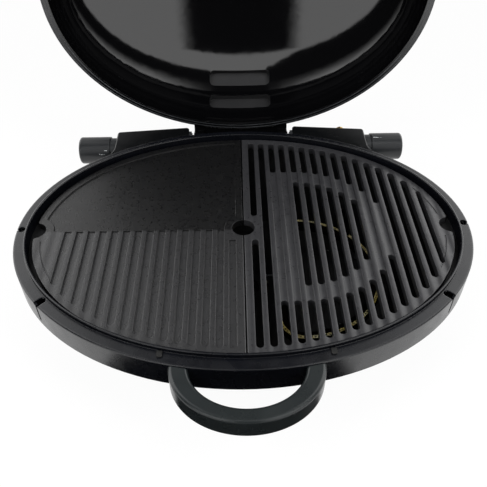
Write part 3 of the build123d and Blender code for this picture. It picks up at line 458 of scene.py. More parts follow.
# The same iron on the grill plate, scrubbed to a drier grey, whose bars run its whole depth
GRILL_IRON = RibbedIron(
    "seasoned_grill_iron", "#262628", 0.33, ior=1.6, mottle_colour="#303032", mottle_size=14,
    mottle_share=0.7, grain_size=0.45, grain_height=0.03, edge_radius=1.1, roughness_spread=0.07,
    first_x=8.0, pitch=17.15, crown_height=0.35, pit_height=0.05,
)
# Glass-filled nylon, moulded with a spark-eroded texture: a soft, slightly green satin grey
HANDLE_NYLON = Finish(
    "moulded_nylon", "#1b1f20", 0.29, ior=1.53, mottle_colour="#232727", mottle_size=80,
    grain_size=0.5, grain_height=0.012, edge_radius=1.0, roughness_spread=0.04,
)
# The knobs' nylon: the same moulding without the green, a shade lighter
KNOB_NYLON = Finish(
    "moulded_knob_nylon", "#191b1d", 0.34, ior=1.53, mottle_colour="#1e1f21", mottle_size=60,
    grain_size=0.5, grain_height=0.01, edge_radius=1.0, roughness_spread=0.04,
)
# Polyester-coated housing: semi-gloss, darker and smoother than the nylon
HOUSING_COAT = Finish(
    "semi_gloss_moulding", "#08090a", 0.24, ior=1.36, mottle_colour="#0c0d0f", mottle_size=60,
    grain_size=1.2, grain_height=0.008, edge_radius=1.0, roughness_spread=0.04,
)
# Vitreous enamel on pressed steel: a clear glass skin, black and mirror-like with a slow ripple
LID_ENAMEL = Finish(
    "vitreous_enamel", "#050506", 0.07, ior=1.52, grain_size=9.0, grain_height=0.02,
    mottle_size=90, edge_radius=0.8, roughness_spread=0.02, coat=0.5, coat_roughness=0.04,
)
# The vents' enamel: the same glass fired over rougher pressings, a satin dark grey
VENT_ENAMEL = Finish(
    "satin_vent_enamel", "#252526", 0.42, ior=1.52, mottle_colour="#1c1c1d", mottle_size=25,
    grain_size=1.5, grain_height=0.02, edge_radius=1.4, roughness_spread=0.08,
)
# The rolled rim's beads, coloured a pale shiny grey as a painted highlight for the thin lines along
# the rim
RIM_BEAD_HIGHLIGHT = Finish(
    "rim_bead_painted_highlight", "#5a5c5f", 0.22, metallic=0.7, mottle_colour="#3c3e41", mottle_size=40,
    mottle_share=1.0, grain_size=2.0, grain_height=0.006, edge_radius=0.2, roughness_spread=0.05,
)
# Bright zinc plate on turned steel: fine lathe streaks
BRIGHT_STEEL = DrawnMetal(
    "bright_zinc_plate", "#c4c6c8", 0.28, metallic=1.0, grain_size=0.35, grain_height=0.01,
    mottle_size=12, edge_radius=0.3,
)
# Black-coated folded steel: semi-matt with a fine dry grain
BRACKET_COAT = Finish(
    "black_coated_steel", "#1b1c1e", 0.45, mottle_colour="#232528", mottle_size=40,
    grain_size=0.8, grain_height=0.03, edge_radius=0.6,
)
# Turned brass: warm metal with lathe streaks round the work
TURNED_BRASS = DrawnMetal(
    "turned_brass", "#b5934a", 0.3, metallic=1.0, mottle_colour="#a07d3c", mottle_size=9,
    grain_size=0.35, grain_height=0.01, edge_radius=0.3,
)
# Plain ground steel for spindles, springs and electrodes
GROUND_STEEL = DrawnMetal(
    "ground_steel", "#9c9ea1", 0.32, metallic=1.0, grain_size=0.3, grain_height=0.008,
    mottle_size=10, edge_radius=0.2,
)
# Drawn aluminium pipe: pale, soft sheen along its length
PIPE_ALUMINIUM = DrawnMetal(
    "drawn_aluminium", "#b9bbbe", 0.35, metallic=1.0, grain_size=0.4, grain_height=0.012,
    mottle_size=18, edge_radius=0.3,
)
# Stainless burner tube, browned and blackened by the flame
BURNER_STEEL = Finish(
    "heat_browned_steel", "#0c0a08", 0.5, metallic=1.0, mottle_colour="#1d150c", mottle_size=26,
    mottle_share=0.8, grain_size=0.5, grain_height=0.02, edge_radius=0.5, roughness_spread=0.12,
)
# Port strip of thin stainless, tinted straw and brass by the heat
PORT_STRIP = Finish(
    "straw_tinted_stainless", "#e8cf62", 0.35, metallic=0.4, mottle_colour="#efe8c0",
    mottle_size=34, mottle_share=1.0, grain_size=0.4, grain_height=0.01, edge_radius=0.2,
    roughness_spread=0.1,
)
# Glazed alumina: warm white glass, smoked in patches by the flame
GLAZED_CERAMIC = Finish(
    "glazed_alumina", "#8a8578", 0.35, mottle_colour="#3a362f", mottle_size=8, mottle_share=0.8,
    grain_size=1.0, grain_height=0.005, edge_radius=0.4,
)
# Moulded rubber: matt black with a dusty grain
FOOT_RUBBER = Finish(
    "moulded_rubber", "#151515", 0.78, mottle_colour="#1f1f1e", mottle_size=15, grain_size=0.5,
    grain_height=0.04, edge_radius=0.6,
)
# Pressed aluminium sheet: rolling streaks across the tray
TRAY_ALUMINIUM = DrawnMetal(
    "pressed_aluminium", "#b4b6b8", 0.38, metallic=1.0, mottle_colour="#a6a8ab", mottle_size=50,
    grain_size=0.5, grain_height=0.015, edge_radius=0.6,
)
# Pad-printed ink for the marks on the knobs: a flat pale grey
KNOB_INK = Finish(
    "pad_printed_ink", "#b9bcbd", 0.6, mottle_colour="#9fa2a4", mottle_size=2.5, grain_size=0.3,
    grain_height=0.003, edge_radius=0.05,
)

# What each slot of the record wears
FINISHES: dict[Slot, Finish] = {
    Slot.RING: RING_COAT,
    Slot.BOWL: BOWL_COAT_AND_SHADE,
    Slot.PLATE: GRILL_IRON,
    Slot.HANDLE: HANDLE_NYLON,
    Slot.HOUSING: HOUSING_COAT,
    Slot.LID: LID_ENAMEL,
    Slot.BRIGHT: BRIGHT_STEEL,
    Slot.BRACKET: BRACKET_COAT,
    Slot.BRASS: TURNED_BRASS,
    Slot.SPINDLE: GROUND_STEEL,
    Slot.PIPE: PIPE_ALUMINIUM,
    Slot.BURNER: BURNER_STEEL,
    Slot.CERAMIC: GLAZED_CERAMIC,
    Slot.RUBBER: FOOT_RUBBER,
    Slot.TRAY: TRAY_ALUMINIUM,
}

# Nodes that wear another finish than the rest of their slot
OWN_FINISHES: dict[str, Finish] = {
    "griddle_plate": GRIDDLE_IRON,
    "lid_vent_lower": VENT_ENAMEL,
    "lid_vent_upper": VENT_ENAMEL,
    "knob_left": KNOB_NYLON,
    "knob_right": KNOB_NYLON,
    "knob_bezel_left": KNOB_NYLON,
    "knob_bezel_right": KNOB_NYLON,
}


class Workshop:
    """Builds each finish once and hands it to the pieces that wear it."""

    def __init__(self) -> None:
        """Start with no material built."""
        self.built: dict[str, bpy.types.Material] = {}

    def material(self, finish: Finish) -> bpy.types.Material:
        """Return a finish's material, building it the first time.

        Args:
            finish: The finish that is wanted.

        Returns:
            Its material.
        """
        if finish.name not in self.built:
            self.built[finish.name] = finish.build()
        return self.built[finish.name]

    def dress(self, piece: bpy.types.Object, finish: Finish) -> None:
        """Give a piece one finish all over.

        Args:
            piece: The object that wears it.
            finish: The finish.
        """
        piece.data.materials.clear()
        piece.data.materials.append(self.material(finish))

    def dress_frame(self) -> None:
        """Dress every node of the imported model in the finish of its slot."""
        slots = {row["node"]: Slot(row["material_slot"]) for row in frame["record"]["subparts"]}
        for name, node in frame["nodes"].items():
            self.dress(node, OWN_FINISHES.get(name, FINISHES[slots[name]]))
        log.info("dressed %d nodes", len(slots))


def node_tree(name: str, inputs: dict[str, str]) -> bpy.types.NodeTree:
    """Start a geometry node tree with a geometry input, a geometry output and named inputs.

    Args:
        name: The tree's name.
        inputs: For each further input, its socket type by its name.

    Returns:
        The tree, with its group input node named "in" and its group output node named "out".
    """
    tree = bpy.data.node_groups.new(name, "GeometryNodeTree")
    tree.interface.new_socket("Geometry", in_out="INPUT", socket_type="NodeSocketGeometry")
    for label, kind in inputs.items():
        tree.interface.new_socket(label, in_out="INPUT", socket_type=kind)
    tree.interface.new_socket("Geometry", in_out="OUTPUT", socket_type="NodeSocketGeometry")
    tree.nodes.new("NodeGroupInput").name = "in"
    tree.nodes.new("NodeGroupOutput").name = "out"
    return tree


def close_tree(tree: bpy.types.NodeTree, shape: bpy.types.NodeSocket) -> bpy.types.NodeTree:
    """End a tree: make its instances real, smooth them and give them the material input.

    Args:
        tree: The tree from node_tree, with an input named Material.
        shape: The socket of the finished geometry.

    Returns:
        The same tree.
    """
    real = add_node(tree, "GeometryNodeRealizeInstances", {"Geometry": shape})
    smooth = add_node(
        tree, "GeometryNodeSetShadeSmooth", {"Geometry": real.outputs["Geometry"]}
    )
    dressed = add_node(
        tree,
        "GeometryNodeSetMaterial",
        {"Geometry": smooth.outputs["Geometry"], "Material": tree.nodes["in"].outputs["Material"]},
    )
    tree.links.new(dressed.outputs["Geometry"], tree.nodes["out"].inputs["Geometry"])
    return tree


def bead_tree() -> bpy.types.NodeTree:
    """Make the tree that lays a round bead along every line of its guide.

    Returns:
        The tree, whose inputs are Radius and Material.
    """
    tree = node_tree(
        "bead_along_lines", {"Radius": "NodeSocketFloat", "Material": "NodeSocketMaterial"}
    )
    start = tree.nodes["in"].outputs
    line = add_node(tree, "GeometryNodeMeshToCurve", {"Mesh": start["Geometry"]})
    profile = add_node(
        tree,
        "GeometryNodeCurvePrimitiveCircle",
        {"Resolution": BEAD_SIDES, "Radius": start["Radius"]},
    )
    swept = add_node(
        tree,
        "GeometryNodeCurveToMesh",
        {
            "Curve": line.outputs["Curve"],
            "Profile Curve": profile.outputs["Curve"],
            "Fill Caps": True,
        },
    )
    return close_tree(tree, swept.outputs["Mesh"])


def stud_tree() -> bpy.types.NodeTree:
    """Make the tree that sets rounded studs at an even pitch along every line of its guide.

    A stud starts as a ball one metre across, so the Size input is its full width each way.

    Returns:
        The tree, whose inputs are Pitch, Size, Spread, Seed and Material.
    """
    tree = node_tree(
        "studs_along_lines",
        {
            "Pitch": "NodeSocketFloat",
            "Size": "NodeSocketVector",
            "Spread": "NodeSocketFloat",
            "Seed": "NodeSocketInt",
            "Material": "NodeSocketMaterial",
        },
    )
    start = tree.nodes["in"].outputs
    line = add_node(tree, "GeometryNodeMeshToCurve", {"Mesh": start["Geometry"]})
    spots = add_node(
        tree,
        "GeometryNodeResampleCurve",
        {"Curve": line.outputs["Curve"], "Length": start["Pitch"]},
        mode="LENGTH",
    )
    ball = add_node(
        tree,
        "GeometryNodeMeshUVSphere",
        {"Segments": STUD_SEGMENTS, "Rings": STUD_RINGS, "Radius": 0.5},
    )
    stud = add_node(
        tree,
        "GeometryNodeTransform",
        {"Geometry": ball.outputs["Mesh"], "Scale": start["Size"]},
    )
    along = add_node(tree, "GeometryNodeInputTangent")
    turn = add_node(
        tree, "FunctionNodeAlignRotationToVector", {"Vector": along.outputs["Tangent"]}, axis="X"
    )
    least = add_node(tree, "ShaderNodeMath", {0: 1.0, 1: start["Spread"]}, operation="SUBTRACT")
    most = add_node(tree, "ShaderNodeMath", {0: 1.0, 1: start["Spread"]}, operation="ADD")
    size = add_node(
        tree,
        "FunctionNodeRandomValue",
        {2: least.outputs["Value"], 3: most.outputs["Value"], "Seed": start["Seed"]},
        data_type="FLOAT",
    )
    placed = add_node(
        tree,
        "GeometryNodeInstanceOnPoints",
        {
            "Points": spots.outputs["Curve"],
            "Instance": stud.outputs["Geometry"],
            "Rotation": turn.outputs["Rotation"],
            "Scale": size.outputs[1],
        },
    )
    return close_tree(tree, placed.outputs["Instances"])


Point = tuple[float, float, float]


@dataclass(frozen=True)
class Line:
    """A run of points in millimetres, closed into a loop or not."""

    points: tuple[Point, ...]
    closed: bool = True


def guide_mesh(name: str, lines: list[Line]) -> bpy.types.Mesh:
    """Make a mesh of bare edges from lines, in metres, for a node tree to work along.

    Args:
        name: The mesh's name.
        lines: The lines that it holds.

    Returns:
        The mesh.
    """
    points: list[Vector] = []
    edges: list[tuple[int, int]] = []
    for line in lines:
        first = len(points)
        count = len(line.points)
        points.extend(Vector(point) * MM for point in line.points)
        last = count if line.closed else count - 1
        edges.extend((first + i, first + (i + 1) % count) for i in range(last))
    mesh = bpy.data.meshes.new(name)
    mesh.from_pydata(points, edges, [])
    return mesh


class Grower:
    """Turns guide lines into finished pieces with the node trees, and keeps only the meshes."""

    def __init__(self, workshop: Workshop) -> None:
        """Keep the workshop and build the two trees.

        Args:
            workshop: Where the materials come from.
        """
        self.workshop = workshop
        self.bead = bead_tree()
        self.stud = stud_tree()

    def grow(
        self,
        name: str,
        lines: list[Line],
        tree: bpy.types.NodeTree,
        values: dict[str, Any],
        finish: Finish,
        slot: Slot,
        body: str,
    ) -> bpy.types.Object:
        """Make one piece from guide lines.

        Args:
            name: The piece's name.
            lines: The guide lines.
            tree: The node tree that works along them.
            values: The tree's inputs, by name.
            finish: The finish that the piece wears.
            slot: The record's slot that the finish stands for; not used.
            body: The body that the piece moves with.

        Returns:
            The finished piece.
        """
        source = bpy.data.objects.new(name + "_guide", guide_mesh(name + "_guide", lines))
        bpy.context.scene.collection.objects.link(source)
        modifier = source.modifiers.new("grow", "NODES")
        modifier.node_group = tree
        wanted = dict(values, Material=self.workshop.material(finish))
        for item in tree.interface.items_tree:
            if item.in_out == "INPUT" and item.name in wanted:
                modifier[item.identifier] = wanted[item.name]
        graph = bpy.context.evaluated_depsgraph_get()
        mesh = bpy.data.meshes.new_from_object(source.evaluated_get(graph))
        bpy.data.objects.remove(source)
        piece = bpy.data.objects.new(name, mesh)
        bpy.context.scene.collection.objects.link(piece)
        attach(piece, body)
        log.info("%s: %d faces", name, len(mesh.polygons))
        return piece


def ellipse_line(half_x: float, half_y: float, level: float, count: int = 240) -> Line:
    """Return a level ellipse about the middle of the frame, in millimetres."""
    turns = (2 * math.pi * i / count for i in range(count))
    return Line(tuple((half_x * math.cos(a), half_y * math.sin(a), level) for a in turns))


@dataclass(frozen=True)
class BurnerSize:
    """The burner ring's D-shaped middle line and the beads on its top, in millimetres."""

    centre: tuple[float, float] = (84.0, -14.0)
    radius: float = 119.0
    straight_x: float = 55.0
    corner: float = 30.0
    arc_steps: int = 90
    corner_steps: int = 16
    top: float = 88.0
    bead_grow: tuple[float, float] = (2.4, 5.4)
    bead_rise: tuple[float, float] = (0.3, -0.2)
    bead_radius: float = 0.8
    crimp_grow: float = 3.9
    crimp_rise: float = 0.2
    crimp_pitch: float = 5.2
    crimp_size: Point = (3.0, 2.2, 1.2)
    crimp_spread: float = 0.12
    crimp_seed: int = 7


class Burners:
    """The two burner rings' folded seams: a pair of thin beads with a row of crimps between."""

    def __init__(self, grower: Grower, size: BurnerSize) -> None:
        """Keep the grower and the sizes.

        Args:
            grower: What makes pieces from lines.
            size: The burner's sizes.
        """
        self.grower = grower
        self.size = size

    def outline(self, side: int, grow: float, rise: float) -> Line:
        """Return the D outline of one burner, moved outwards and up.

        Args:
            side: Minus one for the left burner, one for the right.
            grow: How far outside the tube's middle line it runs.
            rise: How far over the tube's top it lies.

        Returns:
            The closed line.
        """
        size = self.size
        radius = size.radius + grow
        corner = size.corner + grow
        corner_x = size.straight_x - grow + corner - size.centre[0]
        corner_y = math.sqrt((radius - corner) ** 2 - corner_x ** 2)
        meet = math.atan2(corner_y, corner_x)
        arcs = (
            (0.0, 0.0, radius, -meet, meet, size.arc_steps),
            (corner_x, corner_y, corner, meet, math.pi, size.corner_steps),
            (corner_x, -corner_y, corner, math.pi, 2 * math.pi - meet, size.corner_steps),
        )
        points = []
        for x, y, reach, start, end, count in arcs:
            for i in range(count + 1):
                angle = start + (end - start) * i / count
                across = size.centre[0] + x + reach * math.cos(angle)
                points.append(
                    (side * across, size.centre[1] + y + reach * math.sin(angle), size.top + rise)
                )
        return Line(tuple(points))

    def build(self) -> None:
        """Make the seams of both burners."""
        size = self.size
        for side, name in ((-1, "left"), (1, "right")):
            beads = [self.outline(side, g, r) for g, r in zip(size.bead_grow, size.bead_rise)]
            self.grower.grow(
                f"burner_seam_{name}", beads, self.grower.bead, {"Radius": size.bead_radius * MM},
                PORT_STRIP, Slot.BURNER, "base",
            )
            self.grower.grow(
                f"burner_crimps_{name}",
                [self.outline(side, size.crimp_grow, size.crimp_rise)],
                self.grower.stud,
                {
                    "Pitch": size.crimp_pitch * MM,
                    "Size": [value * MM for value in size.crimp_size],
                    "Spread": size.crimp_spread,
                    "Seed": size.crimp_seed,
                },
                PORT_STRIP,
                Slot.BURNER,
                "base",
            )


@dataclass(frozen=True)
class LidSize:
    """The lid's hinge, its open turn and the two thin beads rolled into its rim.

    The hinge is a Y and a Z, and each bead the half width and half depth of its ellipse, in
    millimetres on the closed lid.
    """

    hinge: tuple[float, float] = (253.0, 164.0)
    open_turn: float = 109.5
    rim_level: float = 178.86
    beads: tuple[tuple[float, float], ...] = ((325.8, 241.2), (320.6, 237.2))
    bead_radius: float = 0.8


class Lid:
    """The rolled rim of the lid, made in the lid's open place."""

    def __init__(self, grower: Grower, size: LidSize) -> None:
        """Keep the grower and the sizes.

        Args:
            grower: What makes pieces from lines.
            size: The lid's sizes.
        """
        self.grower = grower
        self.size = size

    def opened(self, line: Line) -> Line:
        """Return a line of the closed lid, turned to where it is with the lid open.

        Args:
            line: The line on the closed lid.

        Returns:
            The turned line.
        """
        y_pin, z_pin = self.size.hinge
        turn = math.radians(-self.size.open_turn)
        points = []
        for x, y, z in line.points:
            dy, dz = y - y_pin, z - z_pin
            points.append(
                (
                    x,
                    y_pin + dy * math.cos(turn) - dz * math.sin(turn),
                    z_pin + dy * math.sin(turn) + dz * math.cos(turn),
                )
            )
        return Line(tuple(points), line.closed)

    def build(self) -> None:
        """Make the beads of the rim."""
        size = self.size
        # The beads wear the pale grey of the painted rim highlight
        lines = [self.opened(ellipse_line(x, y, size.rim_level)) for x, y in size.beads]
        self.grower.grow(
            "lid_rim_beads", lines, self.grower.bead, {"Radius": size.bead_radius * MM},
            RIM_BEAD_HIGHLIGHT, Slot.LID, "lid",
        )


@dataclass(frozen=True)
class Fittings:
    """The inlet's thread, the feet's ribs and the printed marks on the knobs, in millimetres.

    A mark is its lean from the top towards the cook, in degrees, and where it starts and ends
    along the knob's axis.
    """

    inlet: Point = (181.0, 0.0, 152.8)
    thread_radius: float = 7.95
    thread_start: float = 268.2
    thread_length: float = 14.0
    thread_pitch: float = 1.8
    thread_bead: float = 0.42
    thread_steps: int = 24
    foot_places: tuple[tuple[float, float], ...] = (
        (-190.0, -112.0), (190.0, -112.0), (-190.0, 158.0), (190.0, 158.0),
    )
    foot_radius: float = 13.0
    foot_middle: float = 6.0
    foot_steps: int = 48
    rib_pitch: float = 3.4
    rib_size: Point = (1.1, 0.9, 9.0)
    knob_axis: tuple[float, float] = (231.0, 152.8)
    knob_radius: float = 23.0
    left_marks: tuple[Point, ...] = (
        (58.0, 232.0, 237.0), (74.0, 237.0, 238.2), (74.0, 240.0, 242.5), (74.0, 244.5, 245.7),
    )
    right_marks: tuple[Point, ...] = ((14.0, 230.0, 239.5), (14.0, 243.0, 244.2))
    mark_radius: float = 0.5


class SmallParts:
    """Makes the fittings' fine detail."""

    def __init__(self, grower: Grower, size: Fittings) -> None:
        """Keep the grower and the sizes.

        Args:
            grower: What makes pieces from lines.
            size: The fittings' sizes.
        """
        self.grower = grower
        self.size = size

    def build_thread(self) -> None:
        """Wind the thread round the gas inlet."""
        size = self.size
        steps = size.thread_steps
        count = int(size.thread_length / size.thread_pitch * steps)
        points = []
        for i in range(count + 1):
            angle = 2 * math.pi * i / steps
            points.append(
                (
                    size.inlet[0] + size.thread_radius * math.cos(angle),
                    size.thread_start + size.thread_pitch * i / steps,
                    size.inlet[2] + size.thread_radius * math.sin(angle),
                )
            )
        self.grower.grow(
            "inlet_thread", [Line(tuple(points), False)], self.grower.bead,
            {"Radius": size.thread_bead * MM}, TURNED_BRASS, Slot.BRASS, "base",
        )

    def build_foot_ribs(self) -> None:
        """Set the upright grip ribs round the four feet."""
        size = self.size
        rings = []
        for x, y in size.foot_places:
            turns = [2 * math.pi * i / size.foot_steps for i in range(size.foot_steps)]
            rings.append(
                Line(
                    tuple(
                        (
                            x + size.foot_radius * math.cos(a),
                            y + size.foot_radius * math.sin(a),
                            size.foot_middle,
                        )
                        for a in turns
                    )
                )
            )
        self.grower.grow(
            "foot_ribs", rings, self.grower.stud,
            {
                "Pitch": size.rib_pitch * MM,
                "Size": [value * MM for value in size.rib_size],
                "Spread": 0.0,
                "Seed": 1,
            },
            FOOT_RUBBER, Slot.RUBBER, "base",
        )

    def build_marks(self) -> None:
        """Print plain dashes and dots on each knob, each at its own lean from the top."""
        size = self.size
        for side, name, marks in ((-1, "left", size.left_marks), (1, "right", size.right_marks)):
            lines = []
            for lean, start, end in marks:
                y = size.knob_axis[0] - size.knob_radius * math.sin(math.radians(lean))
                z = size.knob_axis[1] + size.knob_radius * math.cos(math.radians(lean))
                lines.append(Line(((side * start, y, z), (side * end, y, z)), False))
            self.grower.grow(
                f"knob_mark_{name}", lines, self.grower.bead, {"Radius": size.mark_radius * MM},
                KNOB_INK, Slot.HANDLE, f"knob_{name}",
            )

    def build(self) -> None:
        """Make all the small parts."""
        self.build_thread()
        self.build_foot_ribs()
        self.build_marks()


@dataclass(frozen=True)
class Viewpoint:
    """The camera's place, turn and lens, as worked out from the photograph's perspective.

    The place and the nearest distance are in metres, the heading, dip and roll in degrees.
    """

    place: tuple[float, float, float] = (-0.00924, -0.64251, 0.7568)
    heading: float = 0.82
    dip: float = 43.81
    roll: float = 0.37
    lens: float = 43.76
    sensor: float = 36.0
    nearest: float = 0.02

    def build(self) -> None:
        """Make the camera and give it to the scene."""
        data = bpy.data.cameras.new("camera")
        data.lens = self.lens
        data.sensor_width = self.sensor
        data.clip_start = self.nearest
        camera = bpy.data.objects.new("camera", data)
        bpy.context.scene.collection.objects.link(camera)
        turn = (
            Matrix.Rotation(math.radians(-self.heading), 4, "Z")
            @ Matrix.Rotation(math.radians(90 - self.dip), 4, "X")
            @ Matrix.Rotation(math.radians(-self.roll), 4, "Z")
        )
        camera.matrix_world = Matrix.Translation(self.place) @ turn
        bpy.context.scene.camera = camera


@dataclass(frozen=True)
class Softbox:
    """One soft lamp of the studio."""

    name: str
    place: tuple[float, float, float]
    target: tuple[float, float, float]
    size: tuple[float, float]
    power: float

    def build(self) -> None:
        """Make the lamp, turned towards its target."""
        data = bpy.data.lights.new(self.name, "AREA")
        data.shape = "RECTANGLE"
        data.size = self.size[0]
        data.size_y = self.size[1]
        data.energy = self.power
        lamp = bpy.data.objects.new(self.name, data)
        bpy.context.scene.collection.objects.link(lamp)
        lamp.visible_glossy = False
        lamp.location = self.place
        aim = Vector(self.target) - Vector(self.place)
        lamp.rotation_euler = aim.to_track_quat("-Z", "Y").to_euler()


@dataclass
class Studio:
    """The plain floor, the white surroundings, the dark card in front and the lamps.

    Each pair of a screen is the direction where it starts to show and the one where it shows
    in full, as a part of a unit vector. The card and the floor are in metres.
    """

    floor_half: float = 6.0
    floor_colour: str = "#d8d8d8"
    floor_glow: float = 1.04
    floor_share: float = 0.9
    card_colour: str = "#050505"
    world_level: float = 0.3
    screen_level: float = 1.5
    behind_level: float = 2.0
    dark_level: float = 0.015
    screen_inner: tuple[float, float] = (0.21, 0.3)
    left_cut_start: tuple[float, float] = (-0.05, -0.3)
    left_cut: float = 0.19
    screen_back: tuple[float, float] = (-0.25, -0.29)
    screen_foot: tuple[float, float] = (0.0, 0.3)
    arch_front: tuple[float, float] = (-0.52, -0.48)
    behind_start: tuple[float, float] = (-0.1, 0.2)
    behind_inner: tuple[float, float] = (0.1, 0.46)
    echo_share: float = 0.15
    card_place: tuple[float, float, float] = (-0.034, -0.86, 0.004)
    card_half: tuple[float, float] = (0.238, 0.64)
    lamps: tuple[Softbox, ...] = (
        Softbox("softbox_left", (-1.25, -1.0, 1.75), (0.0, 0.05, 0.2), (0.9, 0.9), 26.0),
        Softbox("softbox_right", (1.25, -1.0, 1.75), (0.0, 0.05, 0.2), (0.9, 0.9), 26.0),
        Softbox("softbox_above", (0.0, 0.1, 2.4), (0.0, 0.0, 0.2), (1.4, 1.4), 18.0),
    )

    def shown_white(self, tree: bpy.types.NodeTree) -> bpy.types.NodeSocket:
        """Return a socket that is one for rays that show the surroundings as a picture.

        Args:
            tree: The world's or a material's tree.

        Returns:
            One for camera, glossy and transmission rays, and nought for the rest.
        """
        rays = add_node(tree, "ShaderNodeLightPath")
        seen = rays.outputs["Is Camera Ray"]
        for name in ("Is Glossy Ray", "Is Transmission Ray"):
            seen = add_node(
                tree, "ShaderNodeMath", {0: seen, 1: rays.outputs[name]}, operation="MAXIMUM"
            ).outputs["Value"]
        return seen

    def gloss_level(self, tree: bpy.types.NodeTree) -> bpy.types.NodeSocket:
        """Return how bright the surroundings are in gloss, by direction.

        Two large pale screens stand left and right of the cook, joined by a narrow one high
        in front, and two more stand left and right behind the object. Elsewhere it is dark.

        Args:
            tree: The world's tree.

        Returns:
            The socket of the brightness.
        """
        way = add_node(tree, "ShaderNodeTexCoord").outputs["Generated"]
        parts = add_node(tree, "ShaderNodeSeparateXYZ", {"Vector": way})
        aside = add_node(tree, "ShaderNodeMath", {0: parts.outputs["X"]}, operation="ABSOLUTE")

        def step(value: bpy.types.NodeSocket, low: float, high: float) -> bpy.types.NodeSocket:
            """Return a smooth step from nought at one level to one at another."""
            ramp = add_node(
                tree,
                "ShaderNodeMapRange",
                {"Value": value, "From Min": low, "From Max": high},
                interpolation_type="SMOOTHSTEP",
            )
            return ramp.outputs["Result"]

        def both(first: Any, second: Any, operation: str) -> bpy.types.NodeSocket:
            """Return two levels joined by a math operation."""
            join = add_node(tree, "ShaderNodeMath", {0: first, 1: second}, operation=operation)
            return join.outputs["Value"]

        screens = step(aside.outputs["Value"], *self.screen_inner)
        arch = step(parts.outputs["Y"], *self.arch_front)
        shape = both(screens, arch, "MAXIMUM")
        cut = both(step(parts.outputs["X"], *self.left_cut_start), self.left_cut, "MULTIPLY")
        front = both(parts.outputs["Y"], cut, "ADD")
        shape = both(shape, step(front, *self.screen_back), "MULTIPLY")
        shape = both(shape, step(parts.outputs["Z"], *self.screen_foot), "MULTIPLY")
        lit = both(shape, self.screen_level, "MULTIPLY")
        behind = both(step(parts.outputs["Y"], *self.behind_start), self.behind_level, "MULTIPLY")
        behind = both(step(aside.outputs["Value"], *self.behind_inner), behind, "MULTIPLY")
        return both(both(lit, behind, "MAXIMUM"), self.dark_level, "ADD")

    def build_world(self) -> None:
        """Make the world white to look at, patterned in gloss and a plain soft grey as a light."""
        world = bpy.data.worlds.new("studio")
        world.use_nodes = True
        tree = world.node_tree
        tree.nodes.clear()
        rays = add_node(tree, "ShaderNodeLightPath")
        echo = add_node(
            tree,
            "ShaderNodeMapRange",
            {
                "Value": rays.outputs["Glossy Depth"],
                "From Min": 1.0,
                "From Max": 2.0,
                "To Min": 1.0,
                "To Max": self.echo_share,
            },
        )
        seen = add_node(
            tree,
            "ShaderNodeMath",
            {0: self.gloss_level(tree), 1: echo.outputs["Result"]},
            operation="MULTIPLY",
        )
        gloss = add_node(
            tree,
            "ShaderNodeMix",
            {
                "Factor": rays.outputs["Is Glossy Ray"],
                "A": self.world_level,
                "B": seen.outputs["Value"],
            },
        )
        clear = add_node(
            tree,
            "ShaderNodeMath",
            {0: rays.outputs["Is Camera Ray"], 1: rays.outputs["Is Transmission Ray"]},
            operation="MAXIMUM",
        )
        strength = add_node(
            tree,
            "ShaderNodeMix",
            {"Factor": clear.outputs["Value"], "A": gloss.outputs[0], "B": 1.0},
        )
        light = add_node(
            tree,
            "ShaderNodeBackground",
            {"Color": linear_colour("#ffffff"), "Strength": strength.outputs[0]},
        )
        add_node(tree, "ShaderNodeOutputWorld", {"Surface": light.outputs["Background"]})
        bpy.context.scene.world = world

    def build_floor(self) -> None:
        """Make the pale floor, which keeps the object's shadow."""
        mesh = bpy.data.meshes.new("floor")
        half = self.floor_half
        corners = [(-half, -half, 0), (half, -half, 0), (half, half, 0), (-half, half, 0)]
        mesh.from_pydata(corners, [], [(0, 1, 2, 3)])
        floor = bpy.data.objects.new("floor", mesh)
        bpy.context.scene.collection.objects.link(floor)
        material = bpy.data.materials.new("white_studio_floor")
        material.use_nodes = True
        tree = material.node_tree
        tree.nodes.clear()
        matt = add_node(
            tree, "ShaderNodeBsdfDiffuse", {"Color": linear_colour(self.floor_colour)}
        )
        glow = add_node(
            tree,
            "ShaderNodeEmission",
            {"Color": linear_colour("#ffffff"), "Strength": self.floor_glow},
        )
        share = add_node(
            tree,
            "ShaderNodeMapRange",
            {"Value": self.shown_white(tree), "To Max": self.floor_share},
        )
        mix = add_node(
            tree,
            "ShaderNodeMixShader",
            {0: share.outputs["Result"], 1: matt.outputs["BSDF"], 2: glow.outputs["Emission"]},
        )
        add_node(tree, "ShaderNodeOutputMaterial", {"Surface": mix.outputs["Shader"]})
        mesh.materials.append(material)

    def build_card(self) -> None:
        """Make the dark card on the floor in front, which only gloss reflects."""
        mesh = bpy.data.meshes.new("dark_card")
        x, y = self.card_half
        corners = [(-x, -y, 0), (x, -y, 0), (x, y, 0), (-x, y, 0)]
        middle = Vector(self.card_place)
        mesh.from_pydata([Vector(c) + middle for c in corners], [], [(0, 1, 2, 3)])
        card = bpy.data.objects.new("dark_card", mesh)
        bpy.context.scene.collection.objects.link(card)
        material = bpy.data.materials.new("black_velvet_card")
        material.use_nodes = True
        tree = material.node_tree
        tree.nodes.clear()
        matt = add_node(
            tree, "ShaderNodeBsdfDiffuse", {"Color": linear_colour(self.card_colour)}
        )
        add_node(tree, "ShaderNodeOutputMaterial", {"Surface": matt.outputs["BSDF"]})
        mesh.materials.append(material)
        card.visible_camera = False
        card.visible_diffuse = False
        card.visible_shadow = False

    def build(self) -> None:
        """Make the whole studio."""
        self.build_world()
        self.build_floor()
        self.build_card()
        for lamp in self.lamps:
            lamp.build()
        bpy.context.scene.view_settings.view_transform = "Standard"


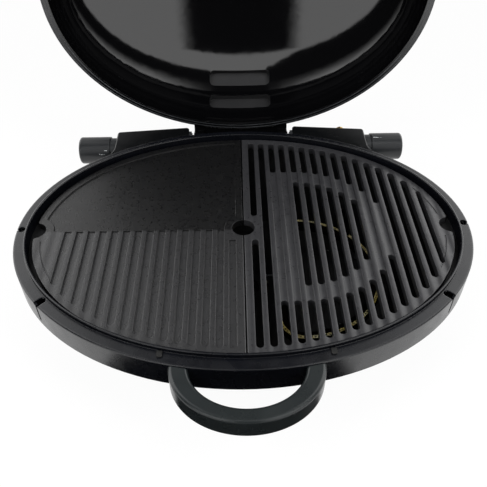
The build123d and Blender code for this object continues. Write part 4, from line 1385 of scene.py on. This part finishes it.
def main() -> None:
    """Build the pieces in order and report each."""
    logging.basicConfig(level=logging.INFO, format="%(name)s: %(message)s")
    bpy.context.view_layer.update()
    Viewpoint().build()
    Studio().build()
    workshop = Workshop()
    workshop.dress_frame()
    grower = Grower(workshop)
    Burners(grower, BurnerSize()).build()
    Lid(grower, LidSize()).build()
    SmallParts(grower, Fittings()).build()


if __name__ == "__main__":
    main()
